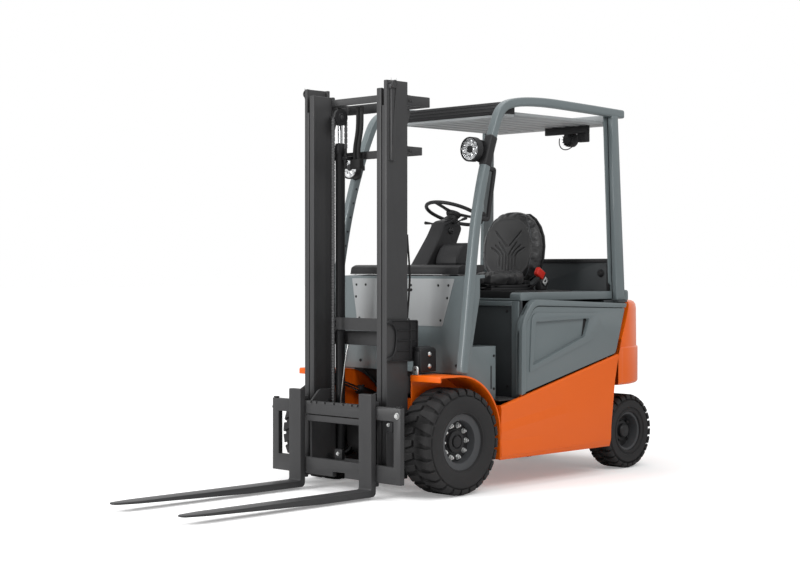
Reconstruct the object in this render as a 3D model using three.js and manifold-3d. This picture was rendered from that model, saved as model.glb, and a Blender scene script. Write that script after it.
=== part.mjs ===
// An electric counterbalance forklift for a 2.5 tonne load, with a two-stage mast, an open cab
// and side doors to its battery. Millimetres, +Z up. The forks point to -Y and +X is the driver's left.
// While it is built, Y 0 is the front axle. The last lines move the middle of its length to Y 0.

import * as THREE from "three";
import { mergeVertices } from "three/addons/utils/BufferGeometryUtils.js";
import Module from "manifold-3d";

const wasm = await Module();
wasm.setup();

// ---- Driving dimensions ----

const SEAT_GAP = 0.3; // between two faces that touch in the real truck
const WHEELBASE = 1610;
const REAR_OVERHANG = 310; // rear axle to the back of the counterweight
const BODY_HALF_WIDTH = 580;

const FRONT_TYRE = { radius: 292, width: 225, rim: 150, shoulder: 22 };
const REAR_TYRE = { radius: 229, width: 173, rim: 116, shoulder: 18 };
const REAR_TRACK_HALF = 399.5; // centre line to the middle of a rear tyre
const KINGPIN_X = REAR_TRACK_HALF - REAR_TYRE.width / 2 - 28;

const MAST_TOP = 2250;
const MAST_BOTTOM = 90;
const MAST_FRONT = -336;
const MAST_DEPTH = 160;
const OUTER_HALF_WIDTH = 334;
const OUTER_FLANGE = 37; // width of a flange of the outer channel
const INNER_FLANGE = 35.5;
const SLIDE_GAP = 5.5; // between the two mast stages, side by side
const FLANGE_THICK = 18;
const WEB_THICK = 14;
const MAST_REAR = MAST_FRONT + MAST_DEPTH;
const INNER_OUTSIDE = OUTER_HALF_WIDTH - OUTER_FLANGE - SLIDE_GAP;
const INNER_INSIDE = INNER_OUTSIDE - INNER_FLANGE;
const INNER_TOP = MAST_TOP - 40;
const INNER_BOTTOM = MAST_BOTTOM + 10;
const ROLLER_GAP = 0.5; // round a mast roller in its channel
const ROLLER_RADIUS = MAST_DEPTH / 2 - FLANGE_THICK - ROLLER_GAP;
const SHEAVE = { x: INNER_INSIDE - 71, y: MAST_REAR - 24, radius: 46, width: 22, z: INNER_TOP - 120 };
const CHAIN = { width: 18, thick: 11, bottom: 440 };

const TILT = {
  x: OUTER_HALF_WIDTH - 24,
  mastY: -135,
  mastZ: 600,
  bodyY: 420,
  bodyZ: 400,
  radius: 28,
  rod: 15,
  pin: 11,
  play: 2.5,
};
const EAR_IN = TILT.x - 26; // inner face of the ears that hold a tilt cylinder's eye

const LIFT = { radius: 28, collar: 32, bore: 16, rod: 14, top: INNER_TOP - 260 };
const LIFT_X = EAR_IN - LIFT.collar - 2;
const LIFT_Y = MAST_REAR + LIFT.collar + 4;
const TIE_REAR = LIFT_Y + LIFT.collar + 18; // back of the ties that pass behind the lift cylinders

const CARRIAGE = { halfWidth: 521, front: -416, bottom: 90, height: 407, thick: 30 };
const FORK = { centre: 286.5, width: 100, thick: 36, length: 1220, shankTop: 562, bottom: 14 };

const FLOOR = 500;
const HOOD_TOP = 1098;
const HOOD_UNDER = 1050;
const HOOD_FRONT = 530;
const HOOD_REAR = WHEELBASE - 235;
const BATTERY = { width: 1028, length: 711, height: 784 };
const ARCH = { y: -20, z: 315, radius: 340, thick: 11 };
const PANEL_FRONT = ARCH.y + ARCH.radius + 1; // front edge of the body behind the front wheel
const PANEL_BOTTOM = 170;
const FENDER_FRONT = -170;
const FENDER_INNER = OUTER_HALF_WIDTH + 12;
const FRONT_TRACK_HALF = FENDER_INNER + 22 + FRONT_TYRE.width / 2;
const WEIGHT_BOTTOM = 530;
const WEIGHT_TOP = 1040;

const DOOR = { inner: 540, gap: 9, topFront: 1060, topRear: 1024, pivotX: 560, pivotY: 504, pivot: 7 };

const GUARD_OUTER = 577;
const GUARD_INNER = 527;
const PILLAR_DEPTH = 52;
const GUARD_LEAN = 0.0294; // how far a side leans in for each millimetre of height
const ROOF_Z = 2190; // middle of the roof rail

const STEERING_WHEEL = { y: 540, z: 1560, radius: 168, tube: 11, tilt: 22, hub: 18 };

// ---- Finishes ----

function paint(color, roughness, metalness) {
  return new THREE.MeshStandardMaterial({ color, roughness, metalness, flatShading: true });
}

const ORANGE = paint(0xe5690f, 0.4, 0.1);
const GREY = paint(0x7b8688, 0.5, 0.1);
const DARK_GREY = paint(0x3a4346, 0.6, 0.1);
const MAST_BLACK = paint(0x2d2e2f, 0.5, 0.4);
const RUBBER = paint(0x1b1b1c, 0.9, 0);
const BLACK_PLASTIC = paint(0x202122, 0.7, 0);
const STEEL = paint(0xb9bcbe, 0.3, 0.9);
const GALVANISED = paint(0x55585a, 0.5, 0.7);
const SEAT_COVER = paint(0x2b2b2d, 0.8, 0);

// ---- Shapes ----

// A closed geometry as a solid that can be joined and cut. A lathe profile drawn downwards comes
// out inside out, and is turned round here.
function solid(geometry) {
  const bare = geometry.index ? geometry.toNonIndexed() : geometry.clone();
  bare.deleteAttribute("normal");
  bare.deleteAttribute("uv");
  const welded = mergeVertices(bare, 1e-3);
  const corners = welded.index.array;
  const triangles = [];
  for (let i = 0; i < corners.length; i += 3) {
    const [a, b, c] = [corners[i], corners[i + 1], corners[i + 2]];
    if (a !== b && b !== c && c !== a) triangles.push(a, b, c);
  }
  const made = (order) =>
    new wasm.Manifold(
      new wasm.Mesh({
        numProp: 3,
        vertProperties: welded.attributes.position.array,
        triVerts: new Uint32Array(order),
      }),
    );
  const first = made(triangles);
  return first.volume() > 0 ? first : made(triangles.toReversed());
}

function join(...solids) {
  return solids.reduce((whole, next) => whole.add(next));
}

function cut(body, ...tools) {
  return tools.reduce((left, tool) => left.subtract(tool), body);
}

function box([x0, x1], [y0, y1], [z0, z1]) {
  const geometry = new THREE.BoxGeometry(x1 - x0, y1 - y0, z1 - z0);
  return solid(geometry.translate((x0 + x1) / 2, (y0 + y1) / 2, (z0 + z1) / 2));
}

// A closed outline. Each point is [a, b] or [a, b, r], where r rounds that corner off.
function outline(points) {
  const shape = new THREE.Shape();
  points.forEach(([a, b, r = 0], i) => {
    const corner = new THREE.Vector2(a, b);
    const before = new THREE.Vector2(...points.at(i - 1).slice(0, 2));
    const after = new THREE.Vector2(...points[(i + 1) % points.length].slice(0, 2));
    const enter = before.sub(corner).setLength(r).add(corner);
    const leave = after.sub(corner).setLength(r).add(corner);
    if (i === 0) shape.moveTo(enter.x, enter.y);
    else shape.lineTo(enter.x, enter.y);
    if (r > 0) shape.quadraticCurveTo(a, b, leave.x, leave.y);
  });
  return shape;
}

function grown(shape, length, segments) {
  const drawn = Array.isArray(shape) ? outline(shape) : shape;
  return new THREE.ExtrudeGeometry(drawn, {
    depth: length,
    bevelEnabled: false,
    curveSegments: segments,
  });
}

// An outline drawn in Y and Z, grown along X.
function plateX(shape, [x0, x1], segments = 4) {
  const turn = new THREE.Matrix4().makeBasis(
    new THREE.Vector3(0, 1, 0),
    new THREE.Vector3(0, 0, 1),
    new THREE.Vector3(1, 0, 0),
  );
  return solid(grown(shape, x1 - x0, segments).applyMatrix4(turn).translate(x0, 0, 0));
}

// An outline drawn in X and Z, grown along Y.
function plateY(shape, [y0, y1], segments = 4) {
  const geometry = grown(shape, y1 - y0, segments).rotateX(Math.PI / 2);
  return solid(geometry.translate(0, y1, 0));
}

// An outline drawn in X and Y, grown along Z.
function plateZ(shape, [z0, z1], segments = 4) {
  return solid(grown(shape, z1 - z0, segments).translate(0, 0, z0));
}

// A round bar from one point to another.
function rod(from, to, radius, sides = 16) {
  const a = new THREE.Vector3(...from);
  const b = new THREE.Vector3(...to);
  const along = b.clone().sub(a);
  const geometry = new THREE.CylinderGeometry(radius, radius, along.length(), sides);
  geometry.applyQuaternion(
    new THREE.Quaternion().setFromUnitVectors(new THREE.Vector3(0, 1, 0), along.normalize()),
  );
  const middle = a.add(b).multiplyScalar(0.5);
  return solid(geometry.translate(middle.x, middle.y, middle.z));
}

// A profile of [radius, x] points spun about the X axis.
function spunX(profile, sides = 32) {
  const points = profile.map(([radius, x]) => new THREE.Vector2(radius, x));
  return solid(new THREE.LatheGeometry(points, sides).rotateZ(-Math.PI / 2));
}

// A band of even width along a smooth curve in the YZ plane, as an outline.
function band(points, width, steps) {
  const curve = new THREE.SplineCurve(points.map(([y, z]) => new THREE.Vector2(y, z)));
  const left = [];
  const right = [];
  for (let i = 0; i <= steps; i += 1) {
    const at = curve.getPointAt(i / steps);
    const along = curve.getTangentAt(i / steps);
    left.push([at.x - (along.y * width) / 2, at.y + (along.x * width) / 2]);
    right.unshift([at.x + (along.y * width) / 2, at.y - (along.x * width) / 2]);
  }
  return [...left, ...right];
}

function mirrored(body) {
  return body.mirror([1, 0, 0]);
}

const truck = new THREE.Group();

function piece(name, body, material) {
  const { vertProperties, triVerts, numProp } = body.getMesh();
  const positions = new Float32Array((vertProperties.length / numProp) * 3);
  for (let i = 0; i * 3 < positions.length; i += 1)
    positions.set(vertProperties.subarray(i * numProp, i * numProp + 3), i * 3);
  const geometry = new THREE.BufferGeometry();
  geometry.setAttribute("position", new THREE.BufferAttribute(positions, 3));
  geometry.setIndex(new THREE.BufferAttribute(new Uint32Array(triVerts), 1));
  const mesh = new THREE.Mesh(geometry, material);
  mesh.name = name;
  truck.add(mesh);
  return mesh;
}

// The left piece as drawn, and its mirror image on the right.
function pair(name, body, material) {
  piece(`${name}_left`, body, material);
  piece(`${name}_right`, mirrored(body), material);
}

// ---- Wheels ----

function tyre({ radius, width, rim, shoulder }) {
  const half = width / 2;
  return spunX([
    [rim, -half * 0.72],
    [rim + 12, -half * 0.9],
    [radius - 2.2 * shoulder, -half],
    [radius - shoulder, -half],
    [radius, -half + shoulder],
    [radius, half - shoulder],
    [radius - shoulder, half],
    [radius - 2.2 * shoulder, half],
    [rim + 12, half * 0.9],
    [rim, half * 0.72],
    [rim, -half * 0.72],
  ]);
}

// A rim with its flanges, a disc set in from the outer face and a hub. Outwards is +X.
function rim({ rim: seat, width }, hub) {
  const discX = hub.disc;
  const half = width / 2;
  const edge = seat - SEAT_GAP;
  const wall = edge - 14;
  return spunX([
    [0, discX - hub.in],
    [hub.radius + 12, discX - hub.in],
    [hub.radius + 12, discX - 14],
    [wall, discX - 14],
    [wall, -half * 0.72],
    [edge, -half * 0.72],
    [edge, half * 0.72],
    [wall, half * 0.72],
    [wall, discX],
    [hub.radius, discX],
    [hub.radius - 6, discX + hub.out],
    [0, discX + hub.out],
  ]);
}

function wheel(name, tyreSize, x, y, hub) {
  const place = (body) => body.translate([x, y, tyreSize.radius]);
  pair(`tyre_${name}`, place(tyre(tyreSize)), RUBBER);
  pair(`rim_${name}`, place(rim(tyreSize, hub)), GALVANISED);
}

function wheels() {
  wheel("front", FRONT_TYRE, FRONT_TRACK_HALF, 0, FRONT_HUB);
  wheel("rear", REAR_TYRE, REAR_TRACK_HALF, WHEELBASE, REAR_HUB);
}

// ---- Axles ----

const AXLE_TUBE = 75;
const FRONT_HUB = { disc: 40, radius: 52, in: 50, out: 22 };
const REAR_HUB = { disc: 20, radius: 42, in: 40, out: 34 };
const DRUM_OUTER = 415;

function driveAxle() {
  const z = FRONT_TYRE.radius;
  const half = LIFT_X - LIFT.collar - 3; // between the lift cylinders
  const housing = plateX(
    [
      [-120, z - 80, 30],
      [-120, z + 80, 30],
      [-60, z + 125, 20],
      [180, z + 125, 20],
      [230, z + 80, 20],
      [230, z - 80, 20],
      [180, z - 117, 20],
      [-60, z - 117, 20],
    ],
    [-half, half],
  );
  const end = FRONT_TRACK_HALF + FRONT_HUB.disc - FRONT_HUB.in - SEAT_GAP;
  const carrier = rod([-end, 0, z], [end, 0, z], FRONT_HUB.radius, 20);
  const tube = rod([-DRUM_OUTER, 0, z], [DRUM_OUTER, 0, z], AXLE_TUBE, 24);
  const drumIn = OUTER_HALF_WIDTH + 12;
  const drum = (side) => rod([side * drumIn, 0, z], [side * DRUM_OUTER, 0, z], 100, 24);
  const foot = box([-160, 160], [200, PANEL_FRONT - SEAT_GAP], [z - 60, z + 90]);
  piece("drive_axle", join(housing, carrier, tube, drum(1), drum(-1), foot), DARK_GREY);
}

const STEER_AXLE = { z: REAR_TYRE.radius, plate: 22, height: 130, eye: 34, pin: 17 };

function steerAxle() {
  const { z, plate, height, eye } = STEER_AXLE;
  const top = z + height / 2;
  const shape = [
    [-KINGPIN_X, -eye],
    [-KINGPIN_X, -eye],
    [-90, -62],
    [90, -62],
    [KINGPIN_X, -eye],
    [KINGPIN_X + eye - 8, 0],
    [KINGPIN_X, eye],
    [90, 62],
    [-90, 62],
    [-KINGPIN_X, eye],
    [-KINGPIN_X - eye + 8, 0],
  ];
  const plan = shape.slice(1).map(([x, y]) => [x, y + WHEELBASE]);
  const upper = plateZ(plan, [top - plate, top]);
  const lower = plateZ(plan, [top - height, top - height + plate]);
  const ram = rod([-190, WHEELBASE, z], [190, WHEELBASE, z], 38, 20);
  const web = box([-90, 90], [WHEELBASE - 24, WHEELBASE + 24], [z - height / 2, top]);
  const post = box([-58, 58], [WHEELBASE - 60, WHEELBASE + 60], [top - 1, WEIGHT_BOTTOM - SEAT_GAP]);
  piece("steer_axle", join(upper, lower, ram, web, post), DARK_GREY);
}

function knuckles() {
  const { z, plate, height, eye } = STEER_AXLE;
  const inside = height / 2 - plate - 0.5;
  const post = rod([KINGPIN_X, WHEELBASE, z - inside], [KINGPIN_X, WHEELBASE, z + inside], eye - 4, 20);
  const hubFace = REAR_TRACK_HALF + REAR_HUB.disc - REAR_HUB.in - SEAT_GAP;
  const stub = rod([KINGPIN_X, WHEELBASE, z], [hubFace, WHEELBASE, z], 26, 20);
  pair("knuckle", join(post, stub), DARK_GREY);
}

// ---- Frame and body ----

// The top edge of the body's side rises from behind the front wheel to the counterweight.
const SIDE_TOP_FRONT = 470;
const SIDE_TOP_REAR = 715;
const SIDE_REAR = WHEELBASE - 238;
const REAR_WALL = WHEELBASE - 320;
const DECK_TOP = 703; // of the saddle the counterweight hangs on
const TRAY = { z: 175, thick: 15 };

function sideTop(y) {
  const share = (y - PANEL_FRONT) / (SIDE_REAR - PANEL_FRONT);
  return SIDE_TOP_FRONT + share * (SIDE_TOP_REAR - SIDE_TOP_FRONT);
}

function chassis() {
  const panel = [
    [PANEL_FRONT, PANEL_BOTTOM],
    [PANEL_FRONT, SIDE_TOP_FRONT],
    [SIDE_REAR, SIDE_TOP_REAR],
    [REAR_WALL + 10, PANEL_BOTTOM],
  ];
  const side = plateX(panel, [BODY_HALF_WIDTH - 24, BODY_HALF_WIDTH - 8]);
  const low = TRAY.z;
  const top = FLOOR - 30;
  const half = BODY_HALF_WIDTH - 23;
  const y = [PANEL_FRONT, REAR_WALL];
  const inner = box([530, half], y, [low, top]);
  const tray = box([-half, half], y, [low, low + TRAY.thick]);
  const front = box([-half, half], [PANEL_FRONT, PANEL_FRONT + 20], [low, top]);
  const slot = (x) => box([x - 40, x + 40], [PANEL_FRONT - 1, PANEL_FRONT + 21], [TILT.bodyZ - 20, FLOOR]);
  const bulkhead = cut(front, slot(TILT.x), slot(-TILT.x));
  const wall = box([-535, 535], [REAR_WALL - 18, REAR_WALL], [low, DECK_TOP]);
  const saddle = box([-half, half], [REAR_WALL - 1, SIDE_REAR - 4], [WEIGHT_BOTTOM, DECK_TOP]);
  const { pivotX, pivotY, pivot } = DOOR;
  const hinge = rod([pivotX, pivotY, SIDE_TOP_FRONT], [pivotX, pivotY, sideTop(pivotY) + 40], pivot);
  const lugY = [PANEL_FRONT + 15, TILT.bodyY + 26];
  const lug = (x) => box([x - 52, x - 40], lugY, [TILT.bodyZ - 30, TILT.bodyZ + 30]);
  const lugs = [TILT.x, TILT.x + 92, -TILT.x, 92 - TILT.x].map(lug);
  const sides = [side, inner, hinge].flatMap((body) => [body, mirrored(body)]);
  piece("chassis", join(...sides, tray, bulkhead, wall, saddle, ...lugs), ORANGE);
}

function fenders() {
  const { y, z, radius, thick } = ARCH;
  const shape = new THREE.Shape();
  shape.moveTo(y + radius, PANEL_BOTTOM);
  shape.absarc(y, z, radius, 0, Math.PI / 2, false);
  shape.lineTo(FENDER_FRONT, z + radius);
  shape.lineTo(FENDER_FRONT, z + radius - 35);
  shape.lineTo(FENDER_FRONT + thick, z + radius - 35);
  shape.lineTo(FENDER_FRONT + thick, z + radius - thick);
  shape.absarc(y, z, radius - thick, Math.PI / 2, 0, true);
  shape.lineTo(y + radius - thick, PANEL_BOTTOM);
  const arch = plateX(shape, [FENDER_INNER, BODY_HALF_WIDTH - 8], 10);
  const [x0, x1] = [FENDER_INNER, FENDER_INNER + 7];
  const round = spunX([
    [0, x0],
    [radius - 2, x0],
    [radius - 2, x1],
    [0, x1],
  ]).translate([0, y, z]);
  const flat = box([x0, x1], [FENDER_FRONT + 2, y], [z + 110, z + radius - 2]);
  const low = box([x0 - 1, x1 + 1], [-500, 500], [-100, z + 110]);
  pair("fender", join(arch, cut(round, low), flat), ORANGE);
}

function counterweight() {
  const back = WHEELBASE + REAR_OVERHANG;
  const w = BODY_HALF_WIDTH;
  const plan = new THREE.Shape();
  plan.moveTo(-w, SIDE_REAR);
  plan.lineTo(w, SIDE_REAR);
  plan.lineTo(w, back - 500);
  plan.bezierCurveTo(w, back - 210, w * 0.5, back, 0, back);
  plan.bezierCurveTo(-w * 0.5, back, -w, back - 210, -w, back - 500);
  const block = plateZ(plan, [WEIGHT_BOTTOM, WEIGHT_TOP], 14);
  const ahead = plateX(
    [
      [SIDE_REAR - 50, SIDE_TOP_REAR + 2],
      [SIDE_REAR + 3, SIDE_TOP_REAR + 2],
      [SIDE_REAR + 140, WEIGHT_TOP + 1],
      [SIDE_REAR - 50, WEIGHT_TOP + 1],
    ],
    [-w - 1, w + 1],
  );
  const pocket = box([-55, 55], [back - 90, back + 1], [WEIGHT_BOTTOM + 50, WEIGHT_BOTTOM + 125]);
  piece("counterweight", cut(block, ahead, pocket), ORANGE);
}

function battery() {
  const half = BATTERY.width / 2;
  const rear = REAR_WALL - 24;
  const base = TRAY.z + TRAY.thick + SEAT_GAP;
  piece(
    "battery",
    box([-half, half], [rear - BATTERY.length, rear], [base, base + BATTERY.height - SEAT_GAP]),
    DARK_GREY,
  );
}

const COWL_HALF = 510;

function cowl() {
  const foot = ARCH.z + ARCH.radius + SEAT_GAP;
  const front = [
    [62, foot],
    [110, 1192],
  ];
  const wall = plateX([...front, [255, 1200], [255, 1182], [128, 1174], [80, foot]], [-COWL_HALF, COWL_HALF]);
  const cheek = plateX([...front, [215, 1198], [215, 1080], [120, foot]], [COWL_HALF - 16, COWL_HALF]);
  const overArch = spunX([
    [0, FENDER_INNER + 14],
    [ARCH.radius + 2, FENDER_INNER + 14],
    [ARCH.radius + 2, COWL_HALF - 5],
    [0, COWL_HALF - 5],
  ]);
  const kick = cut(
    box([FENDER_INNER + 22, COWL_HALF - 15], [75, ARCH.y + ARCH.radius + 40], [FLOOR + SEAT_GAP, 800]),
    overArch.translate([0, ARCH.y, ARCH.z]),
    box([FENDER_INNER, COWL_HALF], [0, 80.5], [0, foot]),
  );
  piece("cowl", join(wall, cheek, mirrored(cheek), kick, mirrored(kick)), GREY);
}

function floorPlate() {
  const plate = box([-552, 552], [PANEL_FRONT + 1, HOOD_FRONT + 14], [FLOOR - 6, FLOOR]);
  const toe = plateX(
    [
      [PANEL_FRONT + 4, FLOOR - 6],
      [PANEL_FRONT + 4, FLOOR],
      [150, 645],
      [144, 641],
    ],
    [-360, 360],
  );
  const legZ = [FLOOR - 30 + SEAT_GAP, FLOOR - 5];
  const leg = (x) => box([x, x + 14], [PANEL_FRONT + 1, PANEL_FRONT + 20], legZ);
  piece("floor_plate", join(plate, toe, ...[-500, -200, 186, 486].map(leg)), DARK_GREY);
}

function steeringColumn() {
  const { y, z, tilt, hub } = STEERING_WHEEL;
  const lean = THREE.MathUtils.degToRad(tilt);
  const onAxis = (down) => [0, y - down * Math.sin(lean), z - down * Math.cos(lean)];
  const dash = plateX(
    [
      [112, 1206],
      [118, 1240, 8],
      [150, 1256, 8],
      [330, 1256, 10],
      [330, 1218, 8],
      [258, 1204],
    ],
    [-440, 440],
  );
  const shape = [
    [215, 1225],
    [430, 1225],
    [570, 1480, 20],
    [500, 1530, 20],
    [405, 1512, 25],
    [362, 1430, 30],
  ];
  const column = plateX(shape, [-68, 68]);
  const neck = rod(onAxis(100), onAxis(hub + 0.5), 34);
  const shelf = cut(
    box([-440, 440], [112, 258], [1190, 1209]),
    plateX(
      [
        [62, 1150],
        [62, 1187],
        [110, 1192 + SEAT_GAP],
        [260, 1200.6],
        [260, 1150],
      ],
      [-600, 600],
    ),
  );
  piece("steering_column", join(dash, column, neck, shelf), BLACK_PLASTIC);
}

function steeringWheel() {
  const { y, z, radius, tube, tilt, hub: hubDepth } = STEERING_WHEEL;
  const ring = [];
  for (let i = 0; i <= 8; i += 1) {
    const a = (i / 8) * 2 * Math.PI;
    ring.push(new THREE.Vector2(radius + tube * Math.cos(a), tube * Math.sin(a)));
  }
  const spun = (points, sides) => solid(new THREE.LatheGeometry(points, sides).rotateX(Math.PI / 2));
  const rimRing = spun(ring, 32);
  const hub = rod([0, 0, -hubDepth], [0, 0, 10], 46, 20);
  const spoke = (turn) => box([20, radius], [-16, 16], [-6, 4]).rotate([0, 0, turn]);
  const knob = join(
    rod([radius, 0, 0], [radius, 0, 40], 8, 10),
    rod([radius, 0, 30], [radius, 0, 62], 20, 16),
  ).rotate([0, 0, 50]);
  const flat = join(rimRing, hub, spoke(30), spoke(150), spoke(270), knob);
  piece("steering_wheel", flat.rotate([-tilt, 0, 0]).translate([0, y, z]), BLACK_PLASTIC);
}

// ---- Overhead guard ----

// The front post's middle line, as [Y, Z].
const FRONT_POST = [
  [22, 663],
  [60, 895],
  [136, 1367],
  [190, 1620],
  [250, 1820],
  [322, 2010],
  [389, 2128],
];
const GUARD_FOOT = ARCH.z + ARCH.radius + SEAT_GAP;

function leanedIn(body) {
  return body.transform([1, 0, 0, 0, 0, 1, 0, 0, -GUARD_LEAN, 0, 1, 0, GUARD_LEAN * GUARD_FOOT, 0, 0, 1]);
}

// The inner face of a leaning side at a height.
function guardInner(z) {
  return GUARD_INNER - GUARD_LEAN * (z - GUARD_FOOT) - SEAT_GAP;
}

function guard() {
  const x = [GUARD_INNER, GUARD_OUTER];
  const rail = band(
    [
      ...FRONT_POST,
      [505, ROOF_Z - 15],
      [745, ROOF_Z + 4],
      [1100, ROOF_Z - 2],
      [SIDE_REAR + 128, ROOF_Z - 14],
    ],
    PILLAR_DEPTH,
    36,
  );
  const level = box([0, 2000], [-500, 2500], [GUARD_FOOT, 2600]);
  const post = plateX(
    [
      [SIDE_REAR + 6, WEIGHT_TOP + 5],
      [SIDE_REAR + 89, WEIGHT_TOP + 5],
      [SIDE_REAR + 61, ROOF_Z - 20],
      [SIDE_REAR - 2, ROOF_Z - 20],
    ],
    x,
  );
  const side = join(plateX(rail, x).intersect(level), post);
  pair("guard", leanedIn(side), GREY);
  const inner = guardInner(ROOF_Z - 6);
  piece("roof_beam", box([-inner, inner], [470, 540], [ROOF_Z - 76, ROOF_Z - 6]), DARK_GREY);
  const sheet = box([-inner, inner], [540 + SEAT_GAP, SIDE_REAR + 112], [ROOF_Z - 82, ROOF_Z - 64]);
  const back = box([-inner, inner], [SIDE_REAR + 10, SIDE_REAR + 70], [ROOF_Z - 76, ROOF_Z - 22]);
  piece("roof_panel", join(sheet, back), GREY);
}

// The deck under the guard's rear posts, in front of the counterweight, with the panel behind the seat on it.
function rearDeck() {
  const clear = 4;
  const deck = plateX(
    [
      [REAR_WALL + 2, DECK_TOP + SEAT_GAP],
      [SIDE_REAR - 8, DECK_TOP + SEAT_GAP],
      [SIDE_REAR - 1, SIDE_TOP_REAR],
      [SIDE_REAR + 138 - clear, WEIGHT_TOP],
      [SIDE_REAR + 138 - clear, WEIGHT_TOP + 4.5],
      [REAR_WALL + 2, WEIGHT_TOP + 4.5],
    ],
    [-532, 532],
  );
  const across = [-GUARD_OUTER, GUARD_OUTER];
  const ear = box(across, [SIDE_REAR + 6, SIDE_REAR + 93], [WEIGHT_TOP - 10, WEIGHT_TOP + 4.5]);
  const panel = plateY(
    [
      [-500, WEIGHT_TOP],
      [-500, 1295, 12],
      [500, 1295, 12],
      [500, WEIGHT_TOP],
    ],
    [SIDE_REAR + 20, SIDE_REAR + 42],
  );
  piece("rear_deck", join(deck, ear, panel), DARK_GREY);
}

const GRIP_X = 525;

function lamps() {
  const headlight = (x, y, z) => {
    const shell = join(
      rod([x, y, z], [x, y + 45, z], 70, 20),
      rod([x, y + 40, z], [x, y + 58, z], 42, 16),
    );
    return join(shell, box([x - 12, guardInner(z + 14)], [y + 50, y + 150], [z - 14, z + 14]));
  };
  piece("headlight_left", headlight(466, 174, 1896), BLACK_PLASTIC);
  piece("headlight_right", mirrored(headlight(470, 130, 1835)), BLACK_PLASTIC);
  const lampY = SIDE_REAR - 60;
  const bar = box([60, 400], [lampY - 12, lampY + 10], [ROOF_Z - 130, ROOF_Z - 82 - SEAT_GAP]);
  const lamp = (cx) => rod([cx, lampY, ROOF_Z - 160], [cx, lampY + 56, ROOF_Z - 160], 46, 16);
  piece("rear_lamp", join(bar, lamp(230)), BLACK_PLASTIC);
  const grip = join(
    rod([GRIP_X, 258, 1500], [GRIP_X, 318, 1800], 14, 12),
    rod([GRIP_X, 165, 1512], [GRIP_X, 262, 1508], 12, 12),
    rod([GRIP_X, 242, 1788], [GRIP_X, 318, 1784], 12, 12),
  );
  const post = plateX(band(FRONT_POST, PILLAR_DEPTH + 1, 20), [GRIP_X - 40, GRIP_X + 40]);
  piece("grab_handle", cut(grip, post), BLACK_PLASTIC);
}

// ---- Hood, seat and doors ----

function hood() {
  const wall = box([-532, 532], [HOOD_FRONT, HOOD_FRONT + 18], [FLOOR + SEAT_GAP, HOOD_UNDER - SEAT_GAP]);
  piece("seat_front_panel", wall, DARK_GREY);
  const lid = plateX(
    [
      [HOOD_FRONT, HOOD_UNDER],
      [HOOD_FRONT, HOOD_TOP, 12],
      [HOOD_REAR, HOOD_TOP, 10],
      [HOOD_REAR, HOOD_UNDER],
    ],
    [-532, 532],
  );
  const hollow = box([-500, 500], [HOOD_FRONT + 30, HOOD_REAR - 30], [HOOD_UNDER - 1, HOOD_TOP - 26]);
  piece("battery_hood", cut(lid, hollow), GREY);
}

const SEAT = { half: 240, front: 608, rear: 1048, base: HOOD_TOP, cushion: 1140, top: 1225 };

function seat() {
  const { half, front, rear, base, cushion, top } = SEAT;
  const rails = box([-half + 40, half - 40], [front + 40, rear], [base + SEAT_GAP, cushion - SEAT_GAP]);
  piece("seat_base", rails, BLACK_PLASTIC);
  const pad = plateX(
    [
      [front, cushion, 10],
      [front, top, 30],
      [rear - 60, top - 12, 10],
      [rear - 60, cushion],
    ],
    [-half, half],
  );
  piece("seat_cushion", pad, SEAT_COVER);
  const back = plateX(
    [
      [rear - 55, cushion],
      [rear - 55, top + 10],
      [rear - 15, 1575, 40],
      [rear + 75, 1590, 40],
      [rear + 75, 1250, 30],
      [rear + 30, cushion],
    ],
    [-half, half],
  );
  const taper = plateY(
    [
      [-half * 0.8, cushion - 5],
      [-half, 1270, 60],
      [-half, 1430, 70],
      [-half * 0.5, 1592, 50],
      [half * 0.5, 1592, 50],
      [half, 1430, 70],
      [half, 1270, 60],
      [half * 0.8, cushion - 5],
    ],
    [rear - 200, rear + 200],
  );
  piece("seat_backrest", back.intersect(taper), SEAT_COVER);
  const armX = [-360, -290];
  const arm = join(
    box([-345, -305], [840, 920], [base + SEAT_GAP, 1262]),
    box(armX, [680, 1040], [1260, 1300]),
    ...[-348, -325, -302].map((x) => rod([x, 712, 1290], [x, 700, 1345], 9, 10)),
  );
  piece("armrest", arm, BLACK_PLASTIC);
}

function doors() {
  const { inner, gap, topFront, topRear } = DOOR;
  const shape = [
    [486, sideTop(486) + gap, 10],
    [490, topFront - 130, 30],
    [590, topFront, 30],
    [SIDE_REAR + 88, topRear, 10],
    [SIDE_REAR - 12, sideTop(SIDE_REAR - 12) + gap, 20],
  ];
  const shell = plateX(shape, [inner, BODY_HALF_WIDTH]);
  const recess = plateX(
    [
      [564, sideTop(564) + 134, 20],
      [576, topFront - 128, 10],
      [664, topFront - 76, 20],
      [1165, topFront - 95, 20],
      [1118, topFront - 245, 20],
    ],
    [BODY_HALF_WIDTH - 10, BODY_HALF_WIDTH + 1],
  );
  const { pivotX, pivotY, pivot } = DOOR;
  const socket = rod([pivotX, pivotY, FLOOR], [pivotX, pivotY, sideTop(pivotY) + 41], pivot + 0.5);
  pair("door", cut(shell, recess, socket), GREY);
}

// ---- Mast ----

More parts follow.
